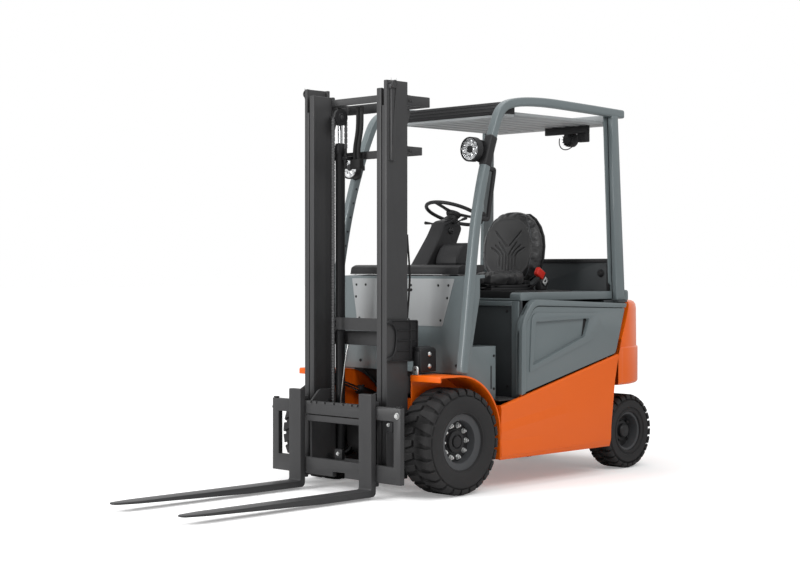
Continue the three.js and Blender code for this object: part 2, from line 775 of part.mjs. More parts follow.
function channel() {
  const x1 = OUTER_HALF_WIDTH;
  const x0 = x1 - OUTER_FLANGE;
  const web = x1 - WEB_THICK;
  const section = [
    [x1, MAST_FRONT],
    [x1, MAST_REAR],
    [x0, MAST_REAR],
    [x0, MAST_REAR - FLANGE_THICK],
    [web, MAST_REAR - FLANGE_THICK],
    [web, MAST_FRONT + FLANGE_THICK],
    [x0, MAST_FRONT + FLANGE_THICK],
    [x0, MAST_FRONT],
  ];
  const flange = [MAST_FRONT - 1, MAST_FRONT + FLANGE_THICK + 1];
  const notch = box([x0 - 1, x0 + 15], flange, [MAST_TOP - 135, MAST_TOP + 1]);
  return cut(plateZ(section, [MAST_BOTTOM, MAST_TOP]), notch);
}

// A tie that bows back round the lift cylinders, from one outer channel to the other.
function bow([z0, z1], rear, plate) {
  const x1 = OUTER_HALF_WIDTH + 2;
  const x0 = x1 - 22;
  return plateZ(
    [
      [x1, MAST_REAR - 4],
      [x1, rear, 26],
      [-x1, rear, 26],
      [-x1, MAST_REAR - 4],
      [-x0, MAST_REAR - 4],
      [-x0, rear - plate, 18],
      [x0, rear - plate, 18],
      [x0, MAST_REAR - 4],
    ],
    [z0, z1],
  );
}

function outerMast() {
  const left = channel();
  const ring = FRONT_TYRE.radius;
  const x0 = OUTER_HALF_WIDTH - OUTER_FLANGE;
  const web = plateX(
    [
      [MAST_REAR - 4, ring - 150],
      [MAST_REAR - 4, ring + 120],
      [-10, ring + 95],
      [-10, ring - 90],
    ],
    [x0, OUTER_HALF_WIDTH],
  );
  const hoop = rod([x0, 0, ring], [OUTER_HALF_WIDTH, 0, ring], AXLE_TUBE + 26, 24);
  const bearing = rod([x0 - 1, 0, ring], [OUTER_HALF_WIDTH + 1, 0, ring], AXLE_TUBE + 0.9, 24);
  const foot = cut(join(hoop, web), bearing);
  const [earRear, earTip] = [MAST_REAR + SLIDE_GAP, TILT.mastY + 22];
  const ear = (x) =>
    plateX(
      [
        [earRear, TILT.mastZ - 45],
        [earRear, TILT.mastZ + 45],
        [earTip, TILT.mastZ + 22, 14],
        [earTip, TILT.mastZ - 22, 14],
      ],
      x,
    );
  const height = [TILT.mastZ - 45, TILT.mastZ + 45];
  const ears = [
    ear([EAR_IN, TILT.x - 18]),
    ear([TILT.x + 18, OUTER_HALF_WIDTH]),
    box([EAR_IN, OUTER_HALF_WIDTH], [earRear, earRear + 6], height),
    box([x0, OUTER_HALF_WIDTH], [MAST_REAR - 2, earRear + 1], height),
  ];
  const pin = rod([TILT.x - 22, TILT.mastY, TILT.mastZ], [TILT.x + 22, TILT.mastY, TILT.mastZ], TILT.pin, 14);
  const barY = MAST_FRONT + 36;
  const barZ = [MAST_TOP - 435, MAST_TOP - 20];
  const bar = join(
    box([OUTER_HALF_WIDTH - 1, OUTER_HALF_WIDTH + 18], [barY - 22, barY + 22], barZ),
    rod([OUTER_HALF_WIDTH - 1, barY, MAST_TOP - 23], [OUTER_HALF_WIDTH + 26, barY, MAST_TOP - 23], 22, 16),
  );
  const side = join(left, foot, ...ears, pin, bar);
  const ties = [
    bow([MAST_TOP - 127, MAST_TOP - 72], TIE_REAR + 97, 22),
    bow([MAST_TOP - 394, MAST_TOP - 350], TIE_REAR + 37, 16),
    bow([800, 880], TIE_REAR, 16),
    bow([MAST_BOTTOM + 20, MAST_BOTTOM + 50], TIE_REAR, 16),
  ];
  const half = OUTER_HALF_WIDTH - 10;
  const shelf = box([-half, half], [MAST_REAR + 2, TIE_REAR - 2], [MAST_BOTTOM + 20, MAST_BOTTOM + 32]);
  piece("outer_mast", join(side, mirrored(side), ...ties, shelf), MAST_BLACK);
}

function liftCylinders() {
  const { radius, collar, bore, rod: rodRadius, top } = LIFT;
  const floor = MAST_BOTTOM + 32 + SEAT_GAP;
  const upright = (z0, z1, r, sides) => rod([LIFT_X, LIFT_Y, z0], [LIFT_X, LIFT_Y, z1], r, sides);
  const outside = join(upright(floor, top, radius, 20), upright(top - 60, top, collar, 20));
  const barrel = cut(outside, upright(floor + 30, top + 1, bore, 16));
  pair("lift_cylinder", barrel, MAST_BLACK);
  pair("lift_rod", upright(floor + 60, INNER_TOP - 60 - SEAT_GAP, rodRadius, 16), STEEL);
}

function innerMast() {
  const [a, b] = [INNER_INSIDE, INNER_OUTSIDE];
  const web = [a + 13, a + 25];
  const f = FLANGE_THICK;
  const beam = plateZ(
    [
      [a, MAST_FRONT],
      [b, MAST_FRONT],
      [b, MAST_FRONT + f],
      [web[1], MAST_FRONT + f],
      [web[1], MAST_REAR - f],
      [b, MAST_REAR - f],
      [b, MAST_REAR],
      [a, MAST_REAR],
      [a, MAST_REAR - f],
      [web[0], MAST_REAR - f],
      [web[0], MAST_FRONT + f],
      [a, MAST_FRONT + f],
    ],
    [INNER_BOTTOM, INNER_TOP],
  );
  const tie = (z) => box([-a - 1, a + 1], [MAST_REAR - 16, MAST_REAR - 1], z);
  const headX = [LIFT_X - 24, LIFT_X + 22];
  const head = box(headX, [MAST_REAR - 2, LIFT_Y + 26], [INNER_TOP - 60, INNER_TOP - 22]);
  const middle = MAST_FRONT + MAST_DEPTH / 2;
  const outermost = OUTER_HALF_WIDTH - WEB_THICK - 3;
  const roller = (z) => rod([b - 12, middle, z], [outermost, middle, z], ROLLER_RADIUS, 20);
  const { x: sheaveX, y, z, width, radius } = SHEAVE;
  const axle = rod([sheaveX - 20, y, z], [a + 2, y, z], 12, 14);
  const wheelRound = rod([sheaveX - width / 2, y, z], [sheaveX + width / 2, y, z], radius, 24);
  const side = join(beam, head, roller(INNER_BOTTOM + 62), axle, wheelRound);
  const ties = [
    tie([INNER_TOP - 54, INNER_TOP - 15]),
    tie([887, 957]),
    tie([INNER_BOTTOM, INNER_BOTTOM + 60]),
  ];
  piece("inner_mast", join(side, mirrored(side), ...ties), MAST_BLACK);
}

function chains() {
  const y = SHEAVE.y - SHEAVE.radius - SEAT_GAP;
  const x = [SHEAVE.x - CHAIN.width / 2, SHEAVE.x + CHAIN.width / 2];
  pair("chain", box(x, [y - CHAIN.thick, y], [CHAIN.bottom, SHEAVE.z]), GALVANISED);
}

// ---- Carriage and forks ----

function carriage() {
  const { halfWidth, front, bottom, height, thick } = CARRIAGE;
  const top = bottom + height;
  const y = [front, front + thick];
  const bars = [
    box([-halfWidth, halfWidth], y, [top - 72, top]),
    box([-halfWidth, halfWidth], y, [bottom, bottom + 92]),
  ];
  const post = box([halfWidth - 52, halfWidth], y, [bottom + 10, top - 10]);
  const plateIn = INNER_INSIDE - 24;
  const cheek = plateX(
    [
      [front + thick - 2, bottom + 5],
      [MAST_REAR - 30, bottom + 5, 30],
      [MAST_REAR - 30, top + 60, 30],
      [front + thick + 60, top + 60, 20],
      [front + thick - 2, top - 5],
    ],
    [plateIn - 16, plateIn],
  );
  const middle = MAST_FRONT + MAST_DEPTH / 2;
  const roller = (z) => rod([plateIn - 4, middle, z], [INNER_INSIDE + 8, middle, z], ROLLER_RADIUS, 20);
  const anchorY = SHEAVE.y - SHEAVE.radius;
  const anchorZ = [CHAIN.bottom - 40, CHAIN.bottom - SEAT_GAP];
  const anchor = box([SHEAVE.x - 16, plateIn - 2], [anchorY - 14, anchorY + 10], anchorZ);
  const side = join(post, cheek, roller(bottom + 75), roller(top - 20), anchor);
  piece("carriage", join(...bars, side, mirrored(side)), MAST_BLACK);
}

function forks() {
  const { centre, width, thick, length, shankTop, bottom } = FORK;
  const rear = CARRIAGE.front - SEAT_GAP;
  const front = rear - thick;
  const tip = front - length;
  const side = plateX(
    [
      [rear, bottom, 30],
      [front - 350, bottom],
      [tip, bottom + thick - 10],
      [tip, bottom + thick],
      [front, bottom + thick, 12],
      [front, shankTop, 6],
      [rear, shankTop, 6],
    ],
    [centre - width / 2, centre + width / 2],
    5,
  );
  const w = width / 2;
  const plan = plateZ(
    [
      [centre - w, 0],
      [centre - w, tip + 130, 40],
      [centre - w * 0.55, tip, 26],
      [centre + w * 0.55, tip, 26],
      [centre + w, tip + 130, 40],
      [centre + w, 0],
    ],
    [-10, 1000],
  );
  const barTop = CARRIAGE.bottom + CARRIAGE.height;
  const hookRear = CARRIAGE.front + CARRIAGE.thick;
  const x = [centre - w + 8, centre + w - 8];
  const hooks = [
    box(x, [rear - 1, hookRear], [barTop + SEAT_GAP, barTop + 24]),
    box(x, [rear - 1, hookRear], [CARRIAGE.bottom - 24, CARRIAGE.bottom - SEAT_GAP]),
  ];
  pair("fork", join(side.intersect(plan), ...hooks), MAST_BLACK);
}

// ---- Tilt cylinders ----

function tiltCylinders() {
  const { x, mastY, mastZ, bodyY, bodyZ, radius, rod: rodRadius, pin, play } = TILT;
  const from = new THREE.Vector3(x, bodyY, bodyZ);
  const to = new THREE.Vector3(x, mastY, mastZ);
  const along = to.clone().sub(from);
  const length = along.length();
  along.normalize();
  const at = (distance) => from.clone().addScaledVector(along, distance).toArray();
  const eye = (point, size) => rod([x - 14, point.y, point.z], [x + 14, point.y, point.z], size, 20);
  const mouth = length * 0.66;
  const barrel = cut(
    join(rod(at(20), at(mouth), radius, 20), eye(from, 26)),
    rod(at(length * 0.18), at(mouth + 1), rodRadius + 0.8, 20),
  );
  const bodyPin = rod([x - 39.7, bodyY, bodyZ], [x + 39.7, bodyY, bodyZ], pin, 14);
  pair("tilt_barrel", join(barrel, bodyPin), MAST_BLACK);
  const hole = rod([x - 17, mastY, mastZ], [x + 17, mastY, mastZ], pin + play, 20);
  const stem = rod(at(length * 0.22 + 60), at(length - 18), rodRadius, 20);
  pair("tilt_rod", cut(join(stem, eye(to, 23)), hole), STEEL);
}

wheels();
driveAxle();
steerAxle();
knuckles();
chassis();
fenders();
counterweight();
battery();
cowl();
floorPlate();
steeringColumn();
steeringWheel();
guard();
rearDeck();
lamps();
hood();
seat();
doors();
outerMast();
liftCylinders();
innerMast();
chains();
carriage();
forks();
tiltCylinders();

// The middle of the whole length, from the fork tips to the back of the counterweight, goes to Y 0.
const forkTip = CARRIAGE.front - SEAT_GAP - FORK.thick - FORK.length;
truck.position.y = -(forkTip + WHEELBASE + REAR_OVERHANG) / 2;

const placed = new THREE.Group();
placed.add(truck);

export default placed;
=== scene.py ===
# An electric counterbalance forklift with an open cab, seen from the front left. Metres, +Z up.
# Its forks point to -Y and the driver's left is +X. Pieces are drawn with Y 0 at the front axle,
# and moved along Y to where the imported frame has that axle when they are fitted.
import math

import bpy
from mathutils import Matrix, Vector


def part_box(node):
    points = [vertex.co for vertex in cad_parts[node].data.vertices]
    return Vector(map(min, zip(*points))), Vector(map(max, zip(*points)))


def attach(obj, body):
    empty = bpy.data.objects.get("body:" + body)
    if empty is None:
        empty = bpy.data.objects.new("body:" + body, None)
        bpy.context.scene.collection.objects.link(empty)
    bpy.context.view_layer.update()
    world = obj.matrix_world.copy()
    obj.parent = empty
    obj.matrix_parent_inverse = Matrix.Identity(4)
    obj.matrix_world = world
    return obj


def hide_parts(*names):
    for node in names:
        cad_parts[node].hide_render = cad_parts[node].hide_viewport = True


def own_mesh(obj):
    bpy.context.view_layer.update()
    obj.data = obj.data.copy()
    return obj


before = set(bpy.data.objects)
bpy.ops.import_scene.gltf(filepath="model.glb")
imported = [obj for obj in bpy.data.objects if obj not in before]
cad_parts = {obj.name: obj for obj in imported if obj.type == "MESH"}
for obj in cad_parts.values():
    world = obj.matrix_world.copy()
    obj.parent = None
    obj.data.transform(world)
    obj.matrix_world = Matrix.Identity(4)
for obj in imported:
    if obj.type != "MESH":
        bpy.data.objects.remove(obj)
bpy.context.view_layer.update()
scene = bpy.context.scene
AXLE = Vector((0, sum(corner.y for corner in map(Vector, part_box("tyre_front_left"))) / 2, 0))

# ---- Camera, floor and light ----
# A photo studio: a white floor that runs into a white wall, with large soft lamps over and beside it.


def nothing_selected():
    bpy.ops.object.select_all(action="DESELECT")


nothing_selected()
bpy.ops.object.camera_add(
    location=Vector((6.436, -6.242, 1.233)) + AXLE,
    rotation=(math.radians(89.742), 0, math.radians(44.614)),
)
camera = bpy.context.object
camera.data.sensor_width = 36
camera.data.lens = 71.08
camera.data.shift_x = -0.0288
camera.data.shift_y = -0.0089
camera.data.clip_end = 200
scene.camera = camera
scene.view_settings.view_transform = "Standard"

WORLD_LEVEL = 0.5


def added(tree, kind, values=(), **settings):
    """A new shader node in the tree, with its settings and its sockets' values."""
    node = tree.nodes.new("ShaderNode" + kind)
    for key, value in settings.items():
        setattr(node, key, value)
    for socket, value in dict(values).items():
        node.inputs[socket].default_value = value
    return node


def wired(tree, *pairs):
    """Links each pair of an output and an input."""
    for start, end in pairs:
        tree.links.new(start, end)


def studio_world():
    """A soft sky that the lens, gloss and glass see as white."""
    world = bpy.data.worlds.new("studio")
    scene.world = world
    world.use_nodes = True
    tree = world.node_tree
    tree.nodes.clear()
    rays = added(tree, "LightPath")
    glossy = added(tree, "Math", operation="MAXIMUM")
    seen = added(tree, "Math", operation="MAXIMUM")
    soft = added(tree, "Background", {"Color": (1, 1, 1, 1), "Strength": WORLD_LEVEL})
    white = added(tree, "Background", {"Color": (1, 1, 1, 1), "Strength": 1})
    mix = added(tree, "MixShader")
    out = added(tree, "OutputWorld")
    wired(
        tree, (rays.outputs["Is Glossy Ray"], glossy.inputs[0]),
        (rays.outputs["Is Transmission Ray"], glossy.inputs[1]),
        (rays.outputs["Is Camera Ray"], seen.inputs[0]), (glossy.outputs[0], seen.inputs[1]),
        (seen.outputs[0], mix.inputs[0]), (soft.outputs[0], mix.inputs[1]),
        (white.outputs[0], mix.inputs[2]), (mix.outputs[0], out.inputs[0]),
    )


def studio_floor():
    """A pale floor that takes a soft shadow and is otherwise as white as the wall behind it."""
    nothing_selected()
    bpy.ops.mesh.primitive_plane_add(size=160)
    floor = bpy.context.object
    floor.name = "floor"
    material = bpy.data.materials.new("floor_white")
    material.use_nodes = True
    tree = material.node_tree
    tree.nodes.clear()
    rays = added(tree, "LightPath")
    paper = added(tree, "BsdfDiffuse", {"Color": (0.86, 0.86, 0.86, 1)})
    lift = added(tree, "Emission", {"Color": (1, 1, 1, 1)})
    place = added(tree, "TexCoord")
    away = added(tree, "VectorMath", operation="LENGTH")
    rise = added(tree, "MapRange", {"From Min": 1.5, "From Max": 7, "To Min": 0.24, "To Max": 0.62})
    level = added(tree, "Math", operation="MULTIPLY")
    total = added(tree, "AddShader")
    out = added(tree, "OutputMaterial")
    wired(
        tree, (place.outputs["Object"], away.inputs[0]), (away.outputs["Value"], rise.inputs["Value"]),
        (rise.outputs["Result"], level.inputs[0]), (rays.outputs["Is Camera Ray"], level.inputs[1]),
        (level.outputs[0], lift.inputs["Strength"]), (paper.outputs[0], total.inputs[0]),
        (lift.outputs[0], total.inputs[1]), (total.outputs[0], out.inputs[0]),
    )
    floor.data.materials.append(material)


def soft_lamp(name, place, aim, size, power):
    nothing_selected()
    bpy.ops.object.light_add(type="AREA", location=place)
    lamp = bpy.context.object
    lamp.name = name
    lamp.data.shape = "RECTANGLE"
    lamp.data.size, lamp.data.size_y = size
    lamp.data.energy = power
    lamp.rotation_euler = (Vector(aim) - Vector(place)).to_track_quat("-Z", "Y").to_euler()


studio_world()
studio_floor()
soft_lamp("key_lamp", (5.5, -1.0, 5.5), (0, 0, 0.8), (4, 3), 215)
soft_lamp("front_lamp", (-1.5, -7.0, 3.4), (0, -0.4, 1), (3, 3), 430)
soft_lamp("top_lamp", (0, 0.5, 6.5), (0, 0, 0), (5, 5), 160)

# ---- Wheels ----
# Solid rubber tyres with moulded shoulder lugs, pressed on two-piece steel rims. The front rims are
# held by ten nuts on studs round the drive hub; the rear rims turn on a plain hub with a dust cap.


def only(piece):
    """Makes this the one selected object."""
    nothing_selected()
    piece.select_set(True)
    bpy.context.view_layer.objects.active = piece


def settled(name):
    """Names the primitive just added, and puts its place into its mesh."""
    piece = bpy.context.object
    piece.name = piece.data.name = name
    bpy.ops.object.transform_apply(location=True, rotation=True, scale=True)
    return piece


def block(name, low, high):
    """A box between two corners."""
    low, high = Vector(low), Vector(high)
    nothing_selected()
    bpy.ops.mesh.primitive_cube_add(size=1, location=(low + high) / 2, scale=high - low)
    return settled(name)


def bar(name, start, end, radius, sides=24, tip=None):
    """A round bar between two points, tapered where a tip radius is given."""
    start, end = Vector(start), Vector(end)
    turn = (end - start).to_track_quat("Z", "Y").to_euler()
    nothing_selected()
    bpy.ops.mesh.primitive_cone_add(
        vertices=sides, radius1=radius, radius2=radius if tip is None else tip, depth=(end - start).length,
        location=(start + end) / 2, rotation=turn,
    )
    return settled(name)


def editing(piece, kind="VERT"):
    """Opens the piece with all of it selected."""
    only(piece)
    bpy.ops.object.mode_set(mode="EDIT")
    bpy.ops.mesh.select_mode(type=kind)
    bpy.ops.mesh.select_all(action="SELECT")


def tidied(piece):
    """Welds doubled corners and turns the faces outwards."""
    editing(piece)
    bpy.ops.mesh.remove_doubles(threshold=1e-5)
    bpy.ops.mesh.normals_make_consistent(inside=False)
    bpy.ops.object.mode_set(mode="OBJECT")
    return piece


def laid_out(points, axis, at):
    """Points of an outline across one axis, as places in space."""
    order = {"X": (2, 0, 1), "Y": (0, 2, 1), "Z": (0, 1, 2)}[axis]
    return [Vector([(a, b, at)[i] for i in order]) for a, b in points]


def turned(name, profile, middle=(0, 0, 0), steps=64, towards=(1, 0, 0)):
    """A closed profile of (radius, x) spun about X at the origin, then set at the middle with its
    +X end towards a direction."""
    middle = Vector(middle)
    nothing_selected()
    bpy.ops.mesh.primitive_circle_add(vertices=len(profile))
    piece = settled(name)
    for vertex, (radius, x) in zip(piece.data.vertices, profile):
        vertex.co = Vector((x, 0, radius))
    editing(piece)
    bpy.ops.mesh.spin(steps=steps, angle=math.tau, center=(0, 0, 0), axis=(1, 0, 0))
    bpy.ops.object.mode_set(mode="OBJECT")
    turn = Vector((1, 0, 0)).rotation_difference(Vector(towards)).to_matrix().to_4x4()
    piece.data.transform(Matrix.Translation(middle) @ turn)
    return tidied(piece)


def plate(name, points, axis, low, high):
    """An outline across an axis, drawn at its low end and extruded to its high end.
    Across X the outline is (y, z), across Y it is (x, z) and across Z it is (x, y)."""
    nothing_selected()
    bpy.ops.mesh.primitive_circle_add(vertices=len(points), fill_type="NGON")
    piece = settled(name)
    for vertex, place in zip(piece.data.vertices, laid_out(points, axis, low)):
        vertex.co = place
    step = Vector([high - low if letter == axis else 0 for letter in "XYZ"])
    editing(piece, "FACE")
    bpy.ops.mesh.extrude_region_move(TRANSFORM_OT_translate={"value": step})
    bpy.ops.object.mode_set(mode="OBJECT")
    return tidied(piece)


def applied(piece, kind, **settings):
    """Adds a modifier and applies it."""
    only(piece)
    modifier = piece.modifiers.new("shape", kind)
    for key, value in settings.items():
        setattr(modifier, key, value)
    bpy.ops.object.modifier_apply(modifier=modifier.name)
    return piece


def carved(piece, *tools):
    """Takes the tools' shapes out of the piece, and removes the tools."""
    for tool in tools:
        applied(piece, "BOOLEAN", object=tool)
        bpy.data.objects.remove(tool)
    return piece


def smoothed(piece, angle=30):
    only(piece)
    bpy.ops.object.shade_smooth_by_angle(angle=math.radians(angle))
    return piece


def eased(piece, width, segments=2, angle=30):
    """Rounds the edges that are sharper than the angle."""
    applied(
        piece, "BEVEL", width=width, segments=segments, limit_method="ANGLE",
        angle_limit=math.radians(angle),
    )
    return smoothed(piece, angle)


def copied(piece, name, place=Matrix.Identity(4)):
    """A copy with its own mesh, moved by a matrix. A mirroring matrix keeps the faces outwards."""
    twin = bpy.data.objects.new(name, piece.data.copy())
    twin.data.name = name
    scene.collection.objects.link(twin)
    twin.data.transform(place)
    if place.determinant() < 0:
        twin.data.flip_normals()
    return twin


def joined(name, pieces):
    """One object from several."""
    nothing_selected()
    for piece in pieces:
        piece.select_set(True)
    bpy.context.view_layer.objects.active = pieces[0]
    if len(pieces) > 1:
        bpy.ops.object.join()
    pieces[0].name = pieces[0].data.name = name
    return pieces[0]


def ring_of(piece, name, count, middle, axis=(1, 0, 0), start=0.0):
    """Copies set round a line, joined with the first."""
    middle = Vector(middle)
    there, back = Matrix.Translation(middle), Matrix.Translation(-middle)
    copies = []
    for i in range(count):
        turn = Matrix.Rotation(start + math.tau * i / count, 4, Vector(axis))
        copies.append(copied(piece, name, there @ turn @ back))
    bpy.data.objects.remove(piece)
    return joined(name, copies)


LEFT_RIGHT = Matrix.Scale(-1, 4, (1, 0, 0))
SIDES = {"left": Matrix.Identity(4), "right": LEFT_RIGHT}


def fitted(piece, material, body, slot, *nodes):
    """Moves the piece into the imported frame, gives it its finish and its body, and names the
    frame's nodes that it stands for."""
    piece.data.transform(Matrix.Translation(AXLE))
    piece.data.materials.clear()
    piece.data.materials.append(material)
    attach(piece, body)
    for node in nodes:
        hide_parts(node)
    return piece


def finish(name, colour, second, rough, patch=3.0, grain=400.0, bump=0.1, metallic=0.0, coat=0.0):
    """A material whose colour drifts to a second one in patches, with a fine grain in its
    roughness and bump. Rough is the lowest and highest roughness. Sizes are waves in a metre."""
    material = bpy.data.materials.new(name)
    material.use_nodes = True
    tree = material.node_tree
    shader = tree.nodes["Principled BSDF"]
    shader.inputs["Metallic"].default_value = metallic
    shader.inputs["Coat Weight"].default_value = coat
    shader.inputs["Coat Roughness"].default_value = 0.12
    shader.inputs["Specular IOR Level"].default_value = 0.2
    place = added(tree, "TexCoord")
    patches = added(tree, "TexNoise", {"Scale": patch, "Detail": 6})
    tint = added(tree, "Mix", data_type="RGBA")
    tint.inputs[6].default_value = (*colour, 1)
    tint.inputs[7].default_value = (*second, 1)
    fine = added(tree, "TexNoise", {"Scale": grain, "Detail": 4})
    level = added(tree, "MapRange", {"To Min": rough[0], "To Max": rough[1]})
    relief = added(tree, "Bump", {"Strength": bump, "Distance": 0.001})
    wired(
        tree, (place.outputs["Object"], patches.inputs["Vector"]),
        (place.outputs["Object"], fine.inputs["Vector"]), (patches.outputs["Fac"], tint.inputs["Factor"]),
        (tint.outputs[2], shader.inputs["Base Color"]), (fine.outputs["Fac"], level.inputs["Value"]),
        (level.outputs["Result"], shader.inputs["Roughness"]),
        (fine.outputs["Fac"], relief.inputs["Height"]), (relief.outputs["Normal"], shader.inputs["Normal"]),
    )
    return material


tyre_rubber = finish(
    "tyre_rubber", (0.013, 0.013, 0.014), (0.027, 0.026, 0.026), (0.55, 0.85), 5, 300, 0.25,
)
rim_black = finish("rim_black", (0.012, 0.012, 0.013), (0.02, 0.02, 0.021), (0.35, 0.5), 6, 500, 0.08)
rim_grey = finish("rim_grey", (0.045, 0.047, 0.05), (0.06, 0.062, 0.065), (0.3, 0.45), 6, 500, 0.08)
zinc = finish("zinc_plate", (0.62, 0.62, 0.6), (0.45, 0.46, 0.47), (0.25, 0.4), 60, 900, 0.06, metallic=1.0)


def tyre(name, low, high, wall, lug):
    """A solid tyre round its frame box. The wall's points are (radius, share of the half width)."""
    middle = (low + high) / 2
    half = (high.x - low.x) / 2
    radius = (high.z - low.z) / 2
    outer = [(r, x * half) for r, x in wall]
    profile = outer + [(r, -x) for r, x in reversed(outer)]
    carcass = smoothed(turned(name + "_carcass", profile, middle, 96), 35)
    depth, width, count = lug["depth"], lug["width"], lug["count"]
    shape = [
        (half * 0.06, radius - depth * 1.4), (half * 0.06, radius - 0.0004), (half * 0.72, radius - 0.0004),
        (half * 0.9, radius - depth * 0.5), (half * 0.985, radius - depth * 1.5),
        (half * 0.97, radius - depth * 2.3), (half * 0.8, radius - depth * 1.9),
    ]
    cleat = plate(
        name + "_lug", [(x + middle.x, r + middle.z) for x, r in shape], "Y", -width / 2, width / 2,
    )
    for vertex in cleat.data.vertices:
        out = (vertex.co.x - middle.x) / half
        vertex.co.y = vertex.co.y * (0.62 + 0.5 * out) + middle.y + width * lug["skew"] * (0.5 - out)
        sag = radius - math.sqrt(radius**2 - (vertex.co.y - middle.y) ** 2)
        vertex.co.z -= sag
    eased(cleat, 0.0022, 1, 40)
    outer_row = ring_of(copied(cleat, name + "_row"), name + "_row", count, middle)
    swap = Matrix.Translation(middle) @ LEFT_RIGHT @ Matrix.Translation(-middle)
    other = copied(cleat, name + "_inner", swap)
    bpy.data.objects.remove(cleat)
    inner_row = ring_of(other, name + "_inner", count, middle, start=math.pi / count)
    return joined(name, [carcass, outer_row, inner_row])


FRONT_WALL = [
    (0.1505, 0.7), (0.154, 0.86), (0.16, 0.93), (0.166, 0.925), (0.171, 0.955), (0.19, 0.985),
    (0.215, 0.998), (0.242, 0.998), (0.247, 0.985), (0.25, 0.93), (0.262, 0.88), (0.2755, 0.78),
    (0.277, 0.6), (0.275, 0.2),
]
REAR_WALL = [
    (0.1165, 0.7), (0.118, 0.88), (0.123, 0.94), (0.133, 0.95), (0.136, 0.9), (0.145, 0.9), (0.15, 0.985),
    (0.172, 0.998), (0.186, 0.995), (0.1895, 0.95), (0.195, 0.86), (0.211, 0.8), (0.2165, 0.66),
    (0.216, 0.2),
]
FRONT_LUG = {"depth": 0.016, "width": 0.046, "count": 26, "skew": 0.55}
REAR_LUG = {"depth": 0.013, "width": 0.036, "count": 26, "skew": 0.5}


def front_rim(name, middle):
    """A dished disc with a stepped seat ring, ten stud nuts and a hub cap. Outwards is +X."""
    seat = [
        (0.149, -0.078), (0.149, 0.08), (0.153, 0.0915), (0.159, 0.0985), (0.164, 0.0985), (0.165, 0.0945),
        (0.156, 0.088), (0.144, 0.0845), (0.125, 0.08), (0.118, 0.078), (0.116, 0.073), (0.115, 0.04),
        (0.111, 0.033), (0.06, 0.033), (0.06, 0.018), (0.133, 0.018), (0.135, -0.078),
    ]
    ring = smoothed(turned(name + "_ring", seat, middle, 72), 35)
    face = [
        (0.0, 0.018), (0.113, 0.018), (0.113, 0.0335), (0.074, 0.0335), (0.07, 0.04), (0.062, 0.04),
        (0.06, 0.054), (0.054, 0.056), (0.04, 0.056), (0.038, 0.05), (0.033, 0.05), (0.031, 0.06),
        (0.027, 0.062), (0.0, 0.062),
    ]
    disc = smoothed(turned(name + "_disc", face, middle, 72), 30)
    at = middle + Vector((0, 0, 0.091))
    nut = eased(
        bar(name + "_nut", at + Vector((0.032, 0, 0)), at + Vector((0.047, 0, 0)), 0.0125, 6), 0.0012,
    )
    stud = eased(
        bar(name + "_stud", at + Vector((0.04, 0, 0)), at + Vector((0.056, 0, 0)), 0.0062, 12), 0.001,
    )
    washer = bar(name + "_washer", at + Vector((0.032, 0, 0)), at + Vector((0.0355, 0, 0)), 0.0155, 20)
    fixing = joined(name + "_fixing", [nut, stud, washer])
    nuts = ring_of(fixing, name + "_nuts", 10, middle, start=math.radians(18))
    return ring, disc, nuts


def rear_rim(name, middle):
    """A deep dish with a hub drum and a domed dust cap. Outwards is +X."""
    seat = [
        (0.1152, -0.06), (0.1152, 0.062), (0.119, 0.0745), (0.124, 0.079), (0.127, 0.078), (0.124, 0.07),
        (0.115, 0.066), (0.106, 0.064), (0.104, 0.06), (0.102, 0.008), (0.06, 0.008), (0.06, -0.004),
        (0.102, -0.004), (0.104, -0.06),
    ]
    ring = smoothed(turned(name + "_ring", seat, middle, 72), 35)
    face = [
        (0.0, -0.004), (0.1, -0.004), (0.1, 0.0085), (0.064, 0.0085), (0.06, 0.024), (0.044, 0.026),
        (0.042, 0.044), (0.036, 0.05), (0.02, 0.053), (0.0, 0.0535),
    ]
    disc = smoothed(turned(name + "_disc", face, middle, 72), 30)
    at = middle + Vector((0, 0, 0.081))
    nut = eased(
        bar(name + "_nut", at + Vector((0.008, 0, 0)), at + Vector((0.022, 0, 0)), 0.0115, 6), 0.001,
    )
    nuts = ring_of(nut, name + "_nuts", 5, middle, start=math.radians(20))
    return ring, disc, nuts


def wheel_pair(end, wall, lug, rim, ring_finish, nut_finish):
    """The left wheel, and its mirror image on the right."""
    low, high = (Vector(corner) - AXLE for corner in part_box(f"tyre_{end}_left"))
    rubber = tyre(f"tyre_{end}", low, high, wall, lug)
    ring, disc, nuts = rim(f"rim_{end}", (low + high) / 2)
    for side, place in reversed(SIDES.items()):
        body = f"wheel_{end}_{side}"
        fitted(
            copied(rubber, f"{end}_tyre_{side}", place), tyre_rubber, body, "tyre_rubber",
            f"tyre_{end}_{side}",
        )
        fitted(
            copied(ring, f"{end}_rim_{side}", place), ring_finish, body, "rim_black", f"rim_{end}_{side}",
        )
        fitted(copied(disc, f"{end}_hub_{side}", place), rim_black, body, "rim_black")
        fitted(copied(nuts, f"{end}_nuts_{side}", place), nut_finish, body, "bright_rod")
    for piece in (rubber, ring, disc, nuts):
        bpy.data.objects.remove(piece)


wheel_pair("front", FRONT_WALL, FRONT_LUG, front_rim, rim_grey, zinc)
wheel_pair("rear", REAR_WALL, REAR_LUG, rear_rim, rim_grey, rim_black)

# ---- Axles ----
# Cast housings in black. The drive axle carries its brake drums and the mast's feet; the steer axle is a
# beam of two plates with a ram between them, and a forged knuckle turns on a kingpin at each end.


